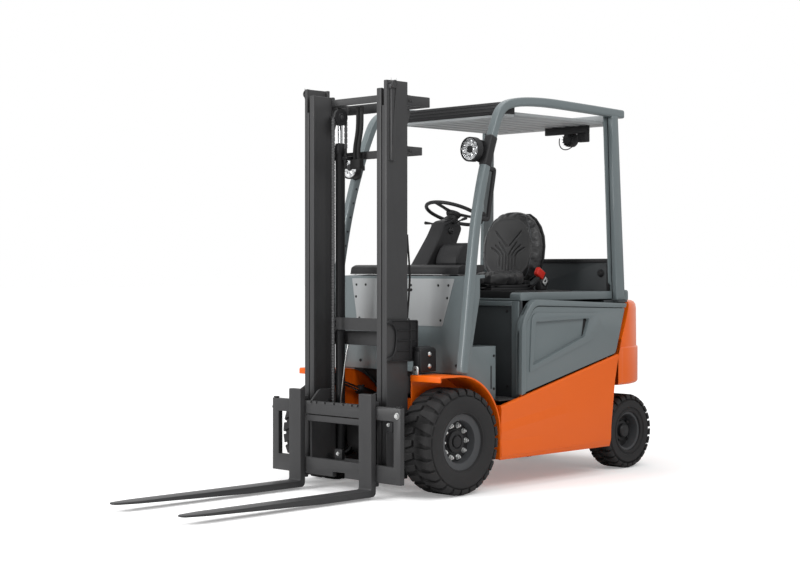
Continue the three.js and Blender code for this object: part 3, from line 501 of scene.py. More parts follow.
def softened(node, name, width=0.002, segments=2, cutter=None):
    """A copy of the frame's piece with its flat faces merged, cut by another piece if one is given,
    and its edges eased."""
    twin = copied(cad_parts[node], name, Matrix.Translation(-AXLE))
    editing(twin)
    bpy.ops.mesh.customdata_custom_splitnormals_clear()
    bpy.ops.mesh.remove_doubles(threshold=1e-5)
    bpy.ops.mesh.dissolve_limited(angle_limit=math.radians(0.5))
    bpy.ops.mesh.quads_convert_to_tris(quad_method="BEAUTY", ngon_method="CLIP")
    bpy.ops.mesh.normals_make_consistent(inside=False)
    bpy.ops.object.mode_set(mode="OBJECT")
    if cutter:
        carved(twin, cutter)
    if width:
        applied(
            twin, "BEVEL", width=width, segments=segments, limit_method="ANGLE",
            angle_limit=math.radians(35), use_clamp_overlap=False,
        )
    return smoothed(twin, 32)


def bolt(name, place, towards, size=0.008, washer=True):
    """A hexagon head on its washer. Size is the radius of the head."""
    place, towards = Vector(place), Vector(towards).normalized()
    base = 0.0018 if washer else 0
    head = eased(
        bar(name, place + towards * base, place + towards * (base + size * 0.75), size, 6), size * 0.12, 1
    )
    parts = [head]
    if washer:
        parts.append(bar(name + "_washer", place, place + towards * base, size * 1.3, 16))
    return joined(name, parts)


cast_black = finish("cast_black", (0.014, 0.014, 0.015), (0.026, 0.025, 0.025), (0.45, 0.7), 7, 160, 0.35)
for end, node in (("front", "drive_axle"), ("rear", "steer_axle")):
    housing = softened(node, node + "_housing", 0.003)
    fitted(housing, cast_black, "truck", "running_gear", node)
drum_bolts = ring_of(
    bolt("drum_bolt", (0.415, 0.085, 0.292), (1, 0, 0), 0.0065), "drum_bolts", 12, (0.415, 0, 0.292)
)
fitted(
    joined("axle_bolts", [drum_bolts, copied(drum_bolts, "drum_bolts_right", LEFT_RIGHT)]), zinc, "truck",
    "bright_rod",
)
for side in ("left", "right"):
    node = f"knuckle_{side}"
    fitted(softened(node, node + "_forging", 0.0015), cast_black, node, "running_gear", node)
    sign = 1 if side == "left" else -1
    cap = turned(
        f"kingpin_cap_{side}", [(0, 0), (0.021, 0), (0.021, 0.005), (0.017, 0.008), (0, 0.009)],
        (sign * 0.285, 1.61, 0.2942), 24, (0, 0, 1),
    )
    fitted(smoothed(cap), zinc, "truck", "bright_rod")

# ---- Chassis ----
# A welded frame of pressed steel in orange enamel. Each side sheet is folded along slanting creases,
# and the top edge is turned in as a narrow bright flange.


def rounded(points, steps=5):
    """An outline whose corners (a, b, r) are rounded off by their r."""
    out = []
    for i, (a, b, *r) in enumerate(points):
        corner = Vector((a, b))
        if not r:
            out.append((a, b))
            continue
        before = Vector(points[i - 1][:2])
        after = Vector(points[(i + 1) % len(points)][:2])
        enter = corner + (before - corner).normalized() * r[0]
        leave = corner + (after - corner).normalized() * r[0]
        for k in range(steps + 1):
            t = k / steps
            out.append(tuple(enter * (1 - t) ** 2 + corner * 2 * t * (1 - t) + leave * t * t))
    return out


def solid_skin(name, rows, back):
    """A sheet through rows of (x, y, z) corners, closed behind on a plane of constant x."""
    wide, high = len(rows[0]), len(rows)
    nothing_selected()
    bpy.ops.mesh.primitive_grid_add(x_subdivisions=wide - 1, y_subdivisions=high - 1)
    piece = settled(name)
    for vertex, place in zip(piece.data.vertices, [p for row in rows for p in row]):
        vertex.co = place
    editing(piece, "FACE")
    bpy.ops.mesh.extrude_region_move()
    bpy.ops.object.mode_set(mode="OBJECT")
    for vertex in piece.data.vertices:
        if vertex.select:
            vertex.co.x = back
    return tidied(piece)


orange_paint = finish(
    "orange_enamel", (0.72, 0.116, 0.0035), (0.66, 0.1, 0.003), (0.26, 0.38), 2.5, 700, 0.04, coat=0.12
)

frame_body = softened("chassis", "chassis_frame", 0.0015)
fitted(frame_body, orange_paint, "truck", "body_orange", "chassis")

# The creases of a side sheet from top to bottom: (y, z) at the front and rear ends, and x.
SIDE_CREASES = [
    ((0.3155, 0.469), (1.379, 0.7195), 0.5735), ((0.3155, 0.456), (1.375, 0.708), 0.58),
    ((0.3155, 0.37), (1.333, 0.513), 0.5765), ((0.3155, 0.324), (1.32, 0.448), 0.579),
    ((0.3155, 0.274), (1.309, 0.291), 0.576), ((0.3155, 0.19), (1.302, 0.21), 0.579),
    ((0.3155, 0.168), (1.299, 0.168), 0.57),
]
columns = 14
rows = []
for (y0, z0), (y1, z1), x in reversed(SIDE_CREASES):
    shares = [i / (columns - 1) for i in range(columns)]
    rows.append([(x, y0 + (y1 - y0) * s, z0 + (z1 - z0) * s) for s in shares])
side_sheet = smoothed(solid_skin("side_sheet", rows, 0.558), 4)
for side, place in SIDES.items():
    fitted(copied(side_sheet, f"side_sheet_{side}", place), orange_paint, "truck", "body_orange")
bpy.data.objects.remove(side_sheet)

# ---- Fenders ----
# A rolled arch over each front wheel with a turned front lip. The left one carries a black valve box with
# two round bolts, a lifting lug and a bracket beside the mast.

FENDER_MIDDLE = Vector((0, -0.02, 0.315))
ARCH_RADIUS = 0.34


def arch_point(angle, radius):
    return (FENDER_MIDDLE.y + radius * math.cos(angle), FENDER_MIDDLE.z + radius * math.sin(angle))


arc = [i / 28 * math.pi / 2 for i in range(29)]
outside = [arch_point(a, ARCH_RADIUS) for a in arc]
inside = [arch_point(a, ARCH_RADIUS - 0.011) for a in arc]
fender_line = [(0.32, 0.17)] + outside
fender_line += [(-0.164, 0.655), (-0.169, 0.652), (-0.17, 0.646), (-0.17, 0.62)]
fender_line += [(-0.159, 0.62), (-0.159, 0.644)] + list(reversed(inside)) + [(0.309, 0.17)]
arch = plate("fender_arch", fender_line, "X", 0.346, 0.574)
eased(arch, 0.0035, 3, 40)
shell_line = [arch_point(a, ARCH_RADIUS - 0.003) for a in arc[7:]] + [(-0.166, 0.652)]
shell_line += [(-0.166, 0.425), arch_point(arc[7], 0.19)]
cheek = eased(plate("fender_cheek", shell_line, "X", 0.346, 0.353), 0.0015, 1)
fender = joined("fender", [arch, cheek])
for side, place in SIDES.items():
    node = f"fender_{side}"
    fitted(copied(fender, node + "_arch", place), orange_paint, "truck", "body_orange", node)
bpy.data.objects.remove(fender)

satin_black = finish("satin_black", (0.012, 0.012, 0.013), (0.018, 0.018, 0.019), (0.35, 0.5), 6, 450, 0.08)
box_shape = rounded([(0.25, 0.67), (0.41, 0.67), (0.41, 0.8, 0.02), (0.262, 0.812, 0.03)])
valve_box = eased(plate("valve_box", box_shape, "Y", -0.15, -0.03), 0.006, 3)
for vertex in valve_box.data.vertices:
    vertex.co.x = max(vertex.co.x, 0.35)
lid = eased(block("valve_box_lid", (0.362, -0.153, 0.688), (0.398, -0.149, 0.782)), 0.002)
valve_box = joined("valve_box", [valve_box, lid])
fitted(valve_box, satin_black, "truck", "black_plastic")
studs = []
for k, z in enumerate((0.702, 0.768)):
    head = turned(
        f"valve_stud_{k}", [(0, 0), (0.013, 0), (0.013, 0.004), (0.01, 0.008), (0.005, 0.01), (0, 0.0105)],
        (0.4095, -0.085, z), 28,
    )
    studs.append(smoothed(head))
lug_line = rounded([(0.36, 0.6555), (0.404, 0.6555), (0.404, 0.705, 0.018), (0.36, 0.705, 0.018)])
lug = eased(plate("fender_lug", lug_line, "Y", -0.168, -0.16), 0.0015)
carved(lug, bar("lug_hole", (0.382, -0.18, 0.684), (0.382, -0.14, 0.684), 0.008))
fitted(joined("fender_fixings", [lug, *studs]), zinc, "truck", "bright_rod")

# ---- Counterweight ----
# One heavy casting with filled and painted faces. A step runs round it, and its upper part is drawn in.
# A tow pin stands at the rear. The two cuts for its pocket leave a raised pad and a stub, not hollows.

WEIGHT_HALF, WEIGHT_BACK, WEIGHT_START = 0.58, 1.92, 1.372


def bezier(a, b, c, d, steps):
    """Points on a cubic curve, without its first."""
    a, b, c, d = map(Vector, (a, b, c, d))
    shares = [k / steps for k in range(1, steps + 1)]
    return [
        tuple(a * (1 - t) ** 3 + b * 3 * t * (1 - t) ** 2 + c * 3 * t * t * (1 - t) + d * t**3)
        for t in shares
    ]


def weight_plan(inset):
    w, back = WEIGHT_HALF - inset, WEIGHT_BACK - inset
    half = [(w, WEIGHT_START), (w, back - 0.5)]
    half += bezier((w, back - 0.5), (w, back - 0.21), (w * 0.5, back), (0, back), 26)
    return half + [(-x, y) for x, y in reversed(half[:-1])]


LAYERS = [
    (0.53, 0.014), (0.534, 0.006), (0.544, 0.0), (0.748, 0.0), (0.754, 0.001), (0.759, 0.0065),
    (0.99, 0.008), (1.015, 0.011), (1.03, 0.019), (1.037, 0.029), (1.04, 0.042),
]


def stacked(name, plans, heights):
    """A closed shape through outlines at rising heights."""
    count = len(plans[0])
    nothing_selected()
    bpy.ops.mesh.primitive_circle_add(vertices=count, fill_type="NGON")
    piece = settled(name)
    for vertex, (x, y) in zip(piece.data.vertices, plans[0]):
        vertex.co = (x, y, heights[0])
    editing(piece, "FACE")
    for plan, z in zip(plans[1:], heights[1:]):
        bpy.ops.mesh.extrude_region_move()
        bpy.ops.object.mode_set(mode="OBJECT")
        moved = [vertex for vertex in piece.data.vertices if vertex.select]
        for vertex, (x, y) in zip(moved, plan):
            vertex.co = (x, y, z)
        only(piece)
        bpy.ops.object.mode_set(mode="EDIT")
    bpy.ops.object.mode_set(mode="OBJECT")
    return tidied(piece)


plans = [weight_plan(inset) for _, inset in LAYERS]
weight = stacked("counterweight_casting", plans, [z for z, _ in LAYERS])
# The front slopes back above the chassis.
editing(weight)
bpy.ops.mesh.bisect(
    plane_co=(0, 1.375, 0.717), plane_no=(0, -0.9205, 0.3903), clear_outer=True, use_fill=True
)
bpy.ops.object.mode_set(mode="OBJECT")
eased(tidied(weight), 0.004, 3, 50)
pocket = block("tow_pocket", (-0.055, 1.83, 0.58), (0.055, 1.93, 0.655))
pocket_hole = bar("tow_hole", (0, 1.868, 0.6), (0, 1.868, 1.1), 0.0175, 24)
carved(weight, pocket, pocket_hole)
smoothed(weight, 28)
fitted(weight, orange_paint, "truck", "body_orange", "counterweight")
pin_profile = [
    (0, 0), (0.0165, 0), (0.0165, 0.455), (0.024, 0.458), (0.024, 0.466), (0.01, 0.47), (0, 0.47),
]
tow_pin = turned("tow_pin", pin_profile, (0, 1.868, 0.582), 28, (0, 0, 1))
handle = bar("tow_pin_bar", (-0.034, 1.868, 1.049), (0.034, 1.868, 1.049), 0.006, 14)
fitted(smoothed(joined("tow_pin", [tow_pin, eased(handle, 0.0015)])), zinc, "truck", "bright_rod")

# ---- Battery ----
# A steel tray of twenty-four cells. Each has a lid and a filler cap, and lead straps join them in series.

low, high = (Vector(corner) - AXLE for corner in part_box("battery"))
tray = eased(block("battery_tray", low, high - Vector((0, 0, 0.03))), 0.004)
fitted(tray, satin_black, "truck", "panel_dark", "battery")
lids, caps, straps = [], [], []
CELLS = (6, 4)
pitch = Vector(((high.x - low.x - 0.03) / CELLS[0], (high.y - low.y - 0.03) / CELLS[1], 0))
first = Vector((low.x + 0.015, low.y + 0.015, high.z - 0.031))
cell = eased(block("cell_lid", first, first + pitch * 0.97 + Vector((0, 0, 0.012))), 0.003)
cap = turned(
    "cell_cap", [(0, 0), (0.016, 0), (0.016, 0.006), (0.012, 0.008), (0.008, 0.015), (0, 0.0155)],
    first + pitch * 0.5 + Vector((0, 0, 0.0115)), 16, (0, 0, 1),
)
smoothed(cap)
strap = eased(
    block(
        "cell_strap", first + Vector((pitch.x * 0.72, pitch.y * 0.4, 0.0115)),
        first + Vector((pitch.x * 1.26, pitch.y * 0.6, 0.0165)),
    ),
    0.002,
)
for i in range(CELLS[0]):
    for j in range(CELLS[1]):
        place = Matrix.Translation((pitch.x * i, pitch.y * j, 0))
        lids.append(copied(cell, f"lid_{i}_{j}", place))
        caps.append(copied(cap, f"cap_{i}_{j}", place))
        if i < CELLS[0] - 1:
            straps.append(copied(strap, f"strap_{i}_{j}", place))
for piece in (cell, cap, strap):
    bpy.data.objects.remove(piece)
cell_grey = finish("cell_grey", (0.09, 0.095, 0.1), (0.07, 0.072, 0.078), (0.4, 0.6), 20, 500, 0.1)
cap_red = finish("cap_plastic", (0.3, 0.02, 0.015), (0.25, 0.017, 0.012), (0.35, 0.5), 20, 500, 0.1)
fitted(joined("cell_lids", lids), cell_grey, "truck", "panel_dark")
fitted(joined("cell_caps", caps), cap_red, "truck", "black_plastic")
fitted(joined("cell_straps", straps), zinc, "truck", "bright_rod")

# ---- Cowl and kick boxes ----
# Folded sheet in smooth blue-grey paint between the front posts, with a stepped seam and round-headed
# screws, and a box beside each of the driver's feet that covers the back of the arch.

grey_paint = finish(
    "grey_enamel", (0.128, 0.152, 0.158), (0.115, 0.138, 0.144), (0.26, 0.38), 2.5, 700, 0.04, coat=0.25
)
cowl = softened("cowl", "cowl_sheet", 0.002)
fitted(cowl, grey_paint, "truck", "body_grey", "cowl")


def cowl_face(z):
    """The Y of the cowl's front face at a height."""
    return 0.062 + (z - 0.6553) * 0.048 / 0.5367


plate_grey = finish("plate_grey", (0.3, 0.31, 0.314), (0.27, 0.28, 0.284), (0.34, 0.46), 2.5, 600, 0.05)
trim, screws = [], []
COVER = [(0.04, 0.912, 0.012), (0.345, 0.912, 0.012), (0.417, 1.178, 0.008), (0.04, 1.178, 0.012)]
for sign in (-1, 1):
    panel = plate("cowl_cover", rounded([(sign * x, z, r) for x, z, r in COVER]), "Y", 0, 0.003)
    for vertex in panel.data.vertices:
        vertex.co.y += cowl_face(vertex.co.z) - 0.0028
    trim.append(eased(panel, 0.0012))
    for x, z in ((0.374, 1.14), (0.371, 1.07), (0.295, 1.14), (0.08, 1.14), (0.33, 0.945), (0.08, 0.945)):
        head = turned(
            "cowl_screw", [(0, 0), (0.008, 0), (0.007, 0.002), (0.004, 0.0035), (0, 0.004)],
            (sign * x, cowl_face(z) - 0.0026, z), 16, (0, -1, 0),
        )
        screws.append(smoothed(head))
    for x, z in ((0.06, 0.7), (0.3, 0.7), (0.47, 0.7)):
        screws.append(bolt("cowl_bolt", (sign * x, cowl_face(z) + 0.0002, z), (0, -1, 0), 0.007))
fitted(joined("cowl_covers", trim), plate_grey, "truck", "body_grey")
fitted(joined("cowl_screws", screws), satin_black, "truck", "black_plastic")
# Each kick box has a cover with one bolt at its outer edge; a thin black strip on the cover is painted shade
# for its slot.
kick_parts = []
for sign in (-1, 1):
    slot = eased(block("kick_slot_shade", (sign * 0.495, 0.318, 0.56), (sign * 0.4972, 0.326, 0.69)), 0.001)
    kick_parts.append(slot)
    for z in (0.56, 0.745):
        kick_parts.append(bolt("kick_bolt", (sign * 0.495, 0.345, z), (sign, 0, 0), 0.006))
fitted(joined("kick_bolts_and_slot_shade", kick_parts), satin_black, "truck", "black_plastic")

# ---- Floor ----
# Chequer plate rolled with raised lozenges that alternate in direction, on a folded toe board. Two
# hanging pedals with ribbed rubber pads stand over it.

floor_black = finish("floor_steel", (0.028, 0.028, 0.029), (0.05, 0.05, 0.05), (0.35, 0.6), 6, 260, 0.2)
floor = softened("floor_plate", "floor_sheet", 0.001, 1)
fitted(floor, floor_black, "truck", "floor_tread", "floor_plate")
seed = eased(
    plate("lozenge", [(-0.011, 0), (0, -0.0032), (0.011, 0), (0, 0.0032)], "Z", -0.0004, 0.0016), 0.0008, 1
)
lozenges = []
TREAD = 0.021
for i in range(50):
    for j in range(9):
        x, y = -0.515 + i * TREAD, 0.336 + j * TREAD
        if y > 0.52:
            continue
        turn = Matrix.Rotation(math.radians(45 if (i + j) % 2 else -45), 4, "Z")
        lozenges.append(copied(seed, "tread", Matrix.Translation((x, y, 0.5)) @ turn))
for i in range(32):
    for j in range(9):
        x, along = -0.33 + i * TREAD, 0.014 + j * TREAD
        turn = Matrix.Rotation(math.radians(45 if (i + j) % 2 else -45), 4, "Z")
        y, z = 0.325 - along * 0.768, 0.5 + along * 0.64
        lean = Matrix.Rotation(-math.atan2(0.145, 0.174), 4, "X")
        lozenges.append(copied(seed, "tread", Matrix.Translation((x, y, z + 0.0004)) @ lean @ turn))
bpy.data.objects.remove(seed)
fitted(joined("floor_tread", lozenges), floor_black, "truck", "floor_tread")
rubber_black = finish("pad_rubber", (0.012, 0.012, 0.012), (0.02, 0.02, 0.02), (0.6, 0.85), 12, 600, 0.2)
pedals = []
for x, wide in ((-0.19, 0.045), (-0.06, 0.055)):
    arm = bar("pedal_arm", (x, 0.19, 0.64), (x, 0.262, 0.585), 0.007, 14)
    pad = eased(block("pedal_pad", (x - wide, 0.25, 0.575), (x + wide, 0.262, 0.64)), 0.004)
    ribs = [
        eased(block("pedal_rib", (x - wide * 0.85, 0.26, z), (x + wide * 0.85, 0.265, z + 0.006)), 0.001)
        for z in (0.583, 0.597, 0.611, 0.625)
    ]
    piece = joined("pedal", [arm, pad, *ribs])
    tip = Matrix.Translation((0, 0.256, 0.6)) @ Matrix.Rotation(math.radians(35), 4, "X")
    piece.data.transform(tip @ Matrix.Translation((0, -0.256, -0.6)))
    pedals.append(piece)
fitted(joined("pedals", pedals), rubber_black, "truck", "black_plastic")

# ---- Steering column and dash ----
# Moulded black plastic: a low dash shelf across the truck, and a tapered column cover in two halves with
# a display, a round switch and a stalk on each side.

moulded_black = finish(
    "moulded_plastic", (0.014, 0.014, 0.015), (0.019, 0.019, 0.02), (0.42, 0.58), 8, 1400, 0.22
)
dash_line = [
    (0.113, 1.207), (0.118, 1.24, 0.012), (0.15, 1.2555, 0.015), (0.3295, 1.2555, 0.012),
    (0.3295, 1.2185, 0.01), (0.26, 1.205),
]
dash = eased(plate("dash", rounded(dash_line), "X", -0.439, 0.439), 0.004, 3)
tray = block("dash_tray", (-0.4, 0.175, 1.244), (-0.13, 0.305, 1.275))
second = block("dash_tray_left", (0.13, 0.175, 1.248), (0.4, 0.305, 1.275))
carved(dash, tray, second)
smoothed(dash)
shelf = eased(block("dash_foot", (-0.439, 0.113, 1.2015), (0.439, 0.257, 1.208)), 0.001, 1)
column_line = [
    (0.217, 1.23), (0.428, 1.23), (0.566, 1.478, 0.03), (0.5, 1.528, 0.03), (0.407, 1.51, 0.03),
    (0.364, 1.43, 0.04),
]
column = plate("column_cover", rounded(column_line, 6), "X", -0.067, 0.067)
for vertex in column.data.vertices:
    share = (vertex.co.z - 1.23) / 0.3
    vertex.co.x *= 0.98 - 0.22 * max(share, 0)
eased(column, 0.016, 5, 40)
WHEEL_MIDDLE = Vector((0, 0.54, 1.56))
WHEEL_AXIS = Vector((0, math.sin(math.radians(22)), math.cos(math.radians(22))))
neck = turned(
    "column_neck",
    [(0, 0), (0.047, 0), (0.0475, 0.044), (0.044, 0.05), (0.036, 0.058), (0.034, 0.081), (0, 0.081)],
    WHEEL_MIDDLE - WHEEL_AXIS * 0.1, 40, WHEEL_AXIS,
)
switch = turned(
    "column_switch",
    [(0, 0), (0.02, 0), (0.02, 0.01), (0.016, 0.013), (0.011, 0.013), (0.01, 0.02), (0, 0.021)],
    (0.052, 0.455, 1.455), 32, (1, 0.25, 0.2),
)
stalks = []
for sign, lift in ((1, 0.03), (-1, 0.01)):
    root = Vector((sign * 0.04, 0.48, 1.495))
    tip = root + Vector((sign * 0.115, -0.01, lift))
    stem = bar("stalk_stem", root, tip, 0.0055, 14, 0.0045)
    grip = bar("stalk_grip", tip - (tip - root) * 0.25, tip + (tip - root) * 0.12, 0.0065, 16, 0.01)
    stalks.append(joined("stalk", [eased(stem, 0.001), eased(grip, 0.003, 3)]))
display = eased(block("display", (-0.06, 0.405, 1.5), (0.06, 0.52, 1.514)), 0.005, 3)
display.data.transform(
    Matrix.Translation((0, 0.46, 1.507)) @ Matrix.Rotation(
        math.radians(18), 4, "X",
    ) @ Matrix.Translation((0, -0.46, -1.507))
)
pod_line = [
    (0.3, 1.254), (0.42, 1.254, 0.02), (0.436, 1.32, 0.03), (0.42, 1.386, 0.02), (0.35, 1.368, 0.03),
    (0.306, 1.3, 0.03),
]
pod = eased(plate("switch_pod", rounded(pod_line, 5), "X", 0.075, 0.245), 0.014, 4, 40)
column_parts = [dash, shelf, column, pod, smoothed(neck), smoothed(switch), display, *stalks]
fitted(joined("column_and_dash", column_parts), moulded_black, "truck", "black_plastic", "steering_column")

# ---- Steering wheel ----
# A thin moulded rim on three flat spokes with a domed hub cap, and a spinner knob that turns on its pin.

WHEEL_RADIUS, RIM_TUBE = 0.168, 0.0108
nothing_selected()
bpy.ops.mesh.primitive_torus_add(
    major_radius=WHEEL_RADIUS, minor_radius=RIM_TUBE, major_segments=96, minor_segments=20
)
wheel_rim = smoothed(settled("wheel_rim"), 60)
cap = turned(
    "wheel_cap",
    [
        (0, -0.018), (0.04, -0.018), (0.0455, -0.006), (0.0455, 0.003), (0.043, 0.006), (0.036, 0.007),
        (0.034, 0.0055), (0.03, 0.0085), (0.016, 0.0097), (0, 0.0099),
    ],
    steps=56, towards=(0, 0, 1),
)
smoothed(cap, 24)
wheel_parts = [wheel_rim, cap]
for angle in (30, 150, 270):
    line = [
        (0.03, -0.0215), (0.085, -0.0135), (0.166, -0.0165), (0.166, 0.0165), (0.085, 0.0135),
        (0.03, 0.0215),
    ]
    spoke = eased(plate("wheel_spoke", line, "Z", -0.0055, 0.0035), 0.0022, 2)
    slot = plate(
        "spoke_slot",
        rounded(
            [(0.095, -0.005, 0.004), (0.14, -0.006, 0.004), (0.14, 0.006, 0.004), (0.095, 0.005, 0.004)]
        ),
        "Z", -0.02, 0.02,
    )
    carved(spoke, slot)
    smoothed(spoke)
    spoke.data.transform(Matrix.Rotation(math.radians(angle), 4, "Z"))
    wheel_parts.append(spoke)
ball = turned(
    "spinner_knob",
    [
        (0, 0.026), (0.009, 0.026), (0.012, 0.03), (0.0185, 0.038), (0.02, 0.046), (0.0185, 0.054),
        (0.012, 0.06), (0, 0.0618),
    ],
    (WHEEL_RADIUS, 0, 0), 36, (0, 0, 1),
)
stem = bar("spinner_stem", (WHEEL_RADIUS, 0, 0.004), (WHEEL_RADIUS, 0, 0.03), 0.0078, 18)
clamp = eased(
    bar("spinner_clamp", (WHEEL_RADIUS - 0.016, 0, 0), (WHEEL_RADIUS + 0.011, 0, 0), 0.011, 20), 0.002,
)
knob = joined("spinner", [smoothed(ball, 50), stem, clamp])
knob.data.transform(Matrix.Rotation(math.radians(50), 4, "Z"))
wheel_parts.append(knob)
steering = joined("steering_rim", wheel_parts)
steering.data.transform(Matrix.Translation(WHEEL_MIDDLE) @ Matrix.Rotation(math.radians(-22), 4, "X"))
fitted(steering, moulded_black, "steering_wheel", "black_plastic", "steering_wheel")

# ---- Overhead guard ----
# Each side is one thick-walled steel tube bent from the fender up over the roof, welded to a folded rear
# post. The sides lean in. A ribbed black beam joins them in front, and a ribbed sheet closes the roof.


def spline(points, steps=8):
    """A smooth curve through (a, b) points."""
    points = [Vector(p) for p in points]
    ends = [points[0] * 2 - points[1], *points, points[-1] * 2 - points[-2]]
    out = []
    for p0, p1, p2, p3 in zip(ends, ends[1:], ends[2:], ends[3:]):
        for k in range(steps):
            t = k / steps
            out.append(
                0.5 * (
                    2 * p1 + (p2 - p0) * t + (
                        2 * p0 - 5 * p1 + 4 * p2 - p3
                    ) * t * t + (3 * p1 - p0 - 3 * p2 + p3) * t**3
                )
            )
    return out + [points[-1]]


def band(points, width, steps=8):
    """The outline of a strip of even width along a smooth curve."""
    line = spline(points, steps)
    left, right = [], []
    for i, place in enumerate(line):
        along = (line[min(i + 1, len(line) - 1)] - line[max(i - 1, 0)]).normalized()
        side = Vector((-along.y, along.x)) * width / 2
        left.append(tuple(place + side))
        right.append(tuple(place - side))
    return left + right[::-1]


GUARD_FOOT, GUARD_LEAN = 0.6553, 0.0294
FRONT_POST = [
    (0.022, 0.663), (0.06, 0.895), (0.136, 1.367), (0.19, 1.62), (0.25, 1.82), (0.322, 2.01),
    (0.389, 2.128),
]
ROOF_RAIL = [(0.505, 2.175), (0.745, 2.194), (1.1, 2.188), (1.5, 2.176)]


def leaned(piece):
    """Leans a piece of the left side in by its height over the fender."""
    for vertex in piece.data.vertices:
        vertex.co.x -= GUARD_LEAN * (vertex.co.z - GUARD_FOOT)
    return piece


def guard_inner(z):
    return 0.5267 - GUARD_LEAN * (z - GUARD_FOOT)


tube = plate("guard_tube", band(FRONT_POST + ROOF_RAIL, 0.0515), "X", 0.5272, 0.5768)
editing(tube)
bpy.ops.mesh.bisect(
    plane_co=(0, 0, GUARD_FOOT + 0.001), plane_no=(0, 0, -1), clear_outer=True, use_fill=True,
)
bpy.ops.object.mode_set(mode="OBJECT")
eased(tidied(tube), 0.0125, 4, 50)
post_line = [(1.378, 1.0455), (1.4605, 1.0455), (1.4325, 2.165), (1.3705, 2.165)]
post = eased(plate("guard_post", post_line, "X", 0.54, 0.5768), 0.007, 3)
inner = eased(plate("post_inner", [(a - 0.0005, b) for a, b in post_line], "X", 0.5272, 0.5345), 0.002, 2)
lip_line = [(1.356, 1.15), (1.38, 1.13), (1.372, 2.16), (1.343, 2.16)]
lip = eased(plate("post_lip", lip_line, "X", 0.5272, 0.533), 0.0015, 2)
foot = eased(block("post_foot", (0.529, 1.3785, 1.0455), (0.5768, 1.462, 1.056)), 0.002)
# A thin black strip fills the groove between the post's inner flange and its face: painted shade that makes
# the groove read dark.
groove_shade_line = [(1.383, 1.048), (1.455, 1.048), (1.428, 2.162), (1.376, 2.162)]
groove_shade = plate("post_groove_shade", groove_shade_line, "X", 0.534, 0.5405)
side_shell = leaned(joined("guard_side", [tube, post, inner, lip, foot]))
groove_shade = leaned(groove_shade)
groove_shade_parts = []
for side, place in SIDES.items():
    node = f"guard_{side}"
    fitted(copied(side_shell, node + "_tube", place), grey_paint, "truck", "body_grey", node)
    groove_shade_parts.append(copied(groove_shade, "groove_shade", place))
for piece in (side_shell, groove_shade):
    bpy.data.objects.remove(piece)
fitted(joined("post_groove_shades", groove_shade_parts), rubber_black, "truck", "black_plastic")

half = guard_inner(2.184)
beam = eased(block("roof_beam_box", (-half, 0.47, 2.114), (half, 0.54, 2.184)), 0.006, 3)
ribs = []
for z in (2.13, 2.148, 2.166):
    ribs.append(
        eased(block("beam_rib", (-half + 0.002, 0.466, z), (half - 0.002, 0.4715, z + 0.009)), 0.002)
    )
fitted(joined("roof_beam_box", [beam, *ribs]), satin_black, "truck", "body_grey", "roof_beam")
strip = eased(block("roof_strip", (-half + 0.004, 0.476, 2.098), (half - 0.004, 0.5395, 2.1135)), 0.003)
pale_grey = finish("pale_sheet", (0.3, 0.315, 0.32), (0.26, 0.275, 0.28), (0.35, 0.5), 3, 600, 0.05)
sheet = eased(block("roof_sheet", (-half + 0.001, 0.5403, 2.11), (half - 0.001, 1.484, 2.124)), 0.002)
roof_ribs = [strip, sheet]
for k in range(9):
    x = -0.424 + k * 0.106
    over = plate(
        "rib", [(x - 0.024, 2.1235), (x - 0.015, 2.133), (x + 0.015, 2.133), (x + 0.024, 2.1235)], "Y",
        0.575, 1.37,
    )
    under = plate(
        "rib", [(x - 0.02, 2.1105), (x - 0.012, 2.1045), (x + 0.012, 2.1045), (x + 0.02, 2.1105)], "Y",
        0.575, 1.37,
    )
    roof_ribs += [eased(over, 0.002, 2), eased(under, 0.002, 2)]
rear_beam = eased(
    block("roof_rear_beam", (-half + 0.001, 1.382, 2.114), (half - 0.001, 1.442, 2.168)), 0.006, 3,
)
roof_ribs.append(rear_beam)
fitted(joined("roof_sheet", roof_ribs), pale_grey, "truck", "body_grey", "roof_panel")

# ---- Rear deck ----
# A folded deck closes the space ahead of the counterweight, and carries an upright panel behind the seat
# with a round latch knob. A soft corner block stands at the foot of each rear post.

deck_grey = finish("deck_grey", (0.042, 0.047, 0.05), (0.034, 0.038, 0.04), (0.38, 0.5), 3, 500, 0.06)
fitted(softened("rear_deck", "rear_deck_sheet", 0.002), deck_grey, "truck", "panel_dark", "rear_deck")
knobs = []
for sign in (-1, 1):
    knob = turned(
        "latch_knob",
        [(0, 0), (0.024, 0), (0.024, 0.004), (0.018, 0.01), (0.018, 0.018), (0.014, 0.022), (0, 0.0225)],
        (sign * 0.432, 1.3935, 1.206), 32, (0, -1, 0),
    )
    knobs.append(smoothed(knob))
frame_bars = []
PANEL_RIM = [(-0.498, 0.498, 1.27, 1.292), (-0.498, -0.478, 1.06, 1.275), (0.478, 0.498, 1.06, 1.275)]
for x0, x1, z0, z1 in PANEL_RIM:
    frame_bars.append(eased(block("panel_rim", (x0, 1.385, z0), (x1, 1.3925, z1)), 0.003))
fitted(joined("latch_knobs", knobs + frame_bars), moulded_black, "truck", "black_plastic")
corner_parts = []
for sign in (-1, 1):
    line = rounded([(1.466, 1.0415), (1.5, 1.0415), (1.5, 1.105, 0.02), (1.466, 1.105, 0.012)])
    low, high = sorted((sign * 0.5, sign * 0.56))
    corner_parts.append(eased(plate("corner_block", line, "X", low, high), 0.008, 3))
fitted(joined("corner_blocks", corner_parts), grey_paint, "truck", "body_grey")

# ---- Lamps and grab handle ----
# Round work lamps: a bright reflector of small cups in a black housing, bolted to a
# sleeve on the post. The rear lamp hangs from the roof with cooling fins and a loop of cable.

lamp_black = finish("lamp_housing", (0.015, 0.015, 0.016), (0.02, 0.02, 0.021), (0.4, 0.52), 8, 700, 0.12)
reflector = finish(
    "lamp_reflector", (0.8, 0.81, 0.82), (0.62, 0.63, 0.64), (0.1, 0.25), 40, 220, 0.25, metallic=0.9,
)


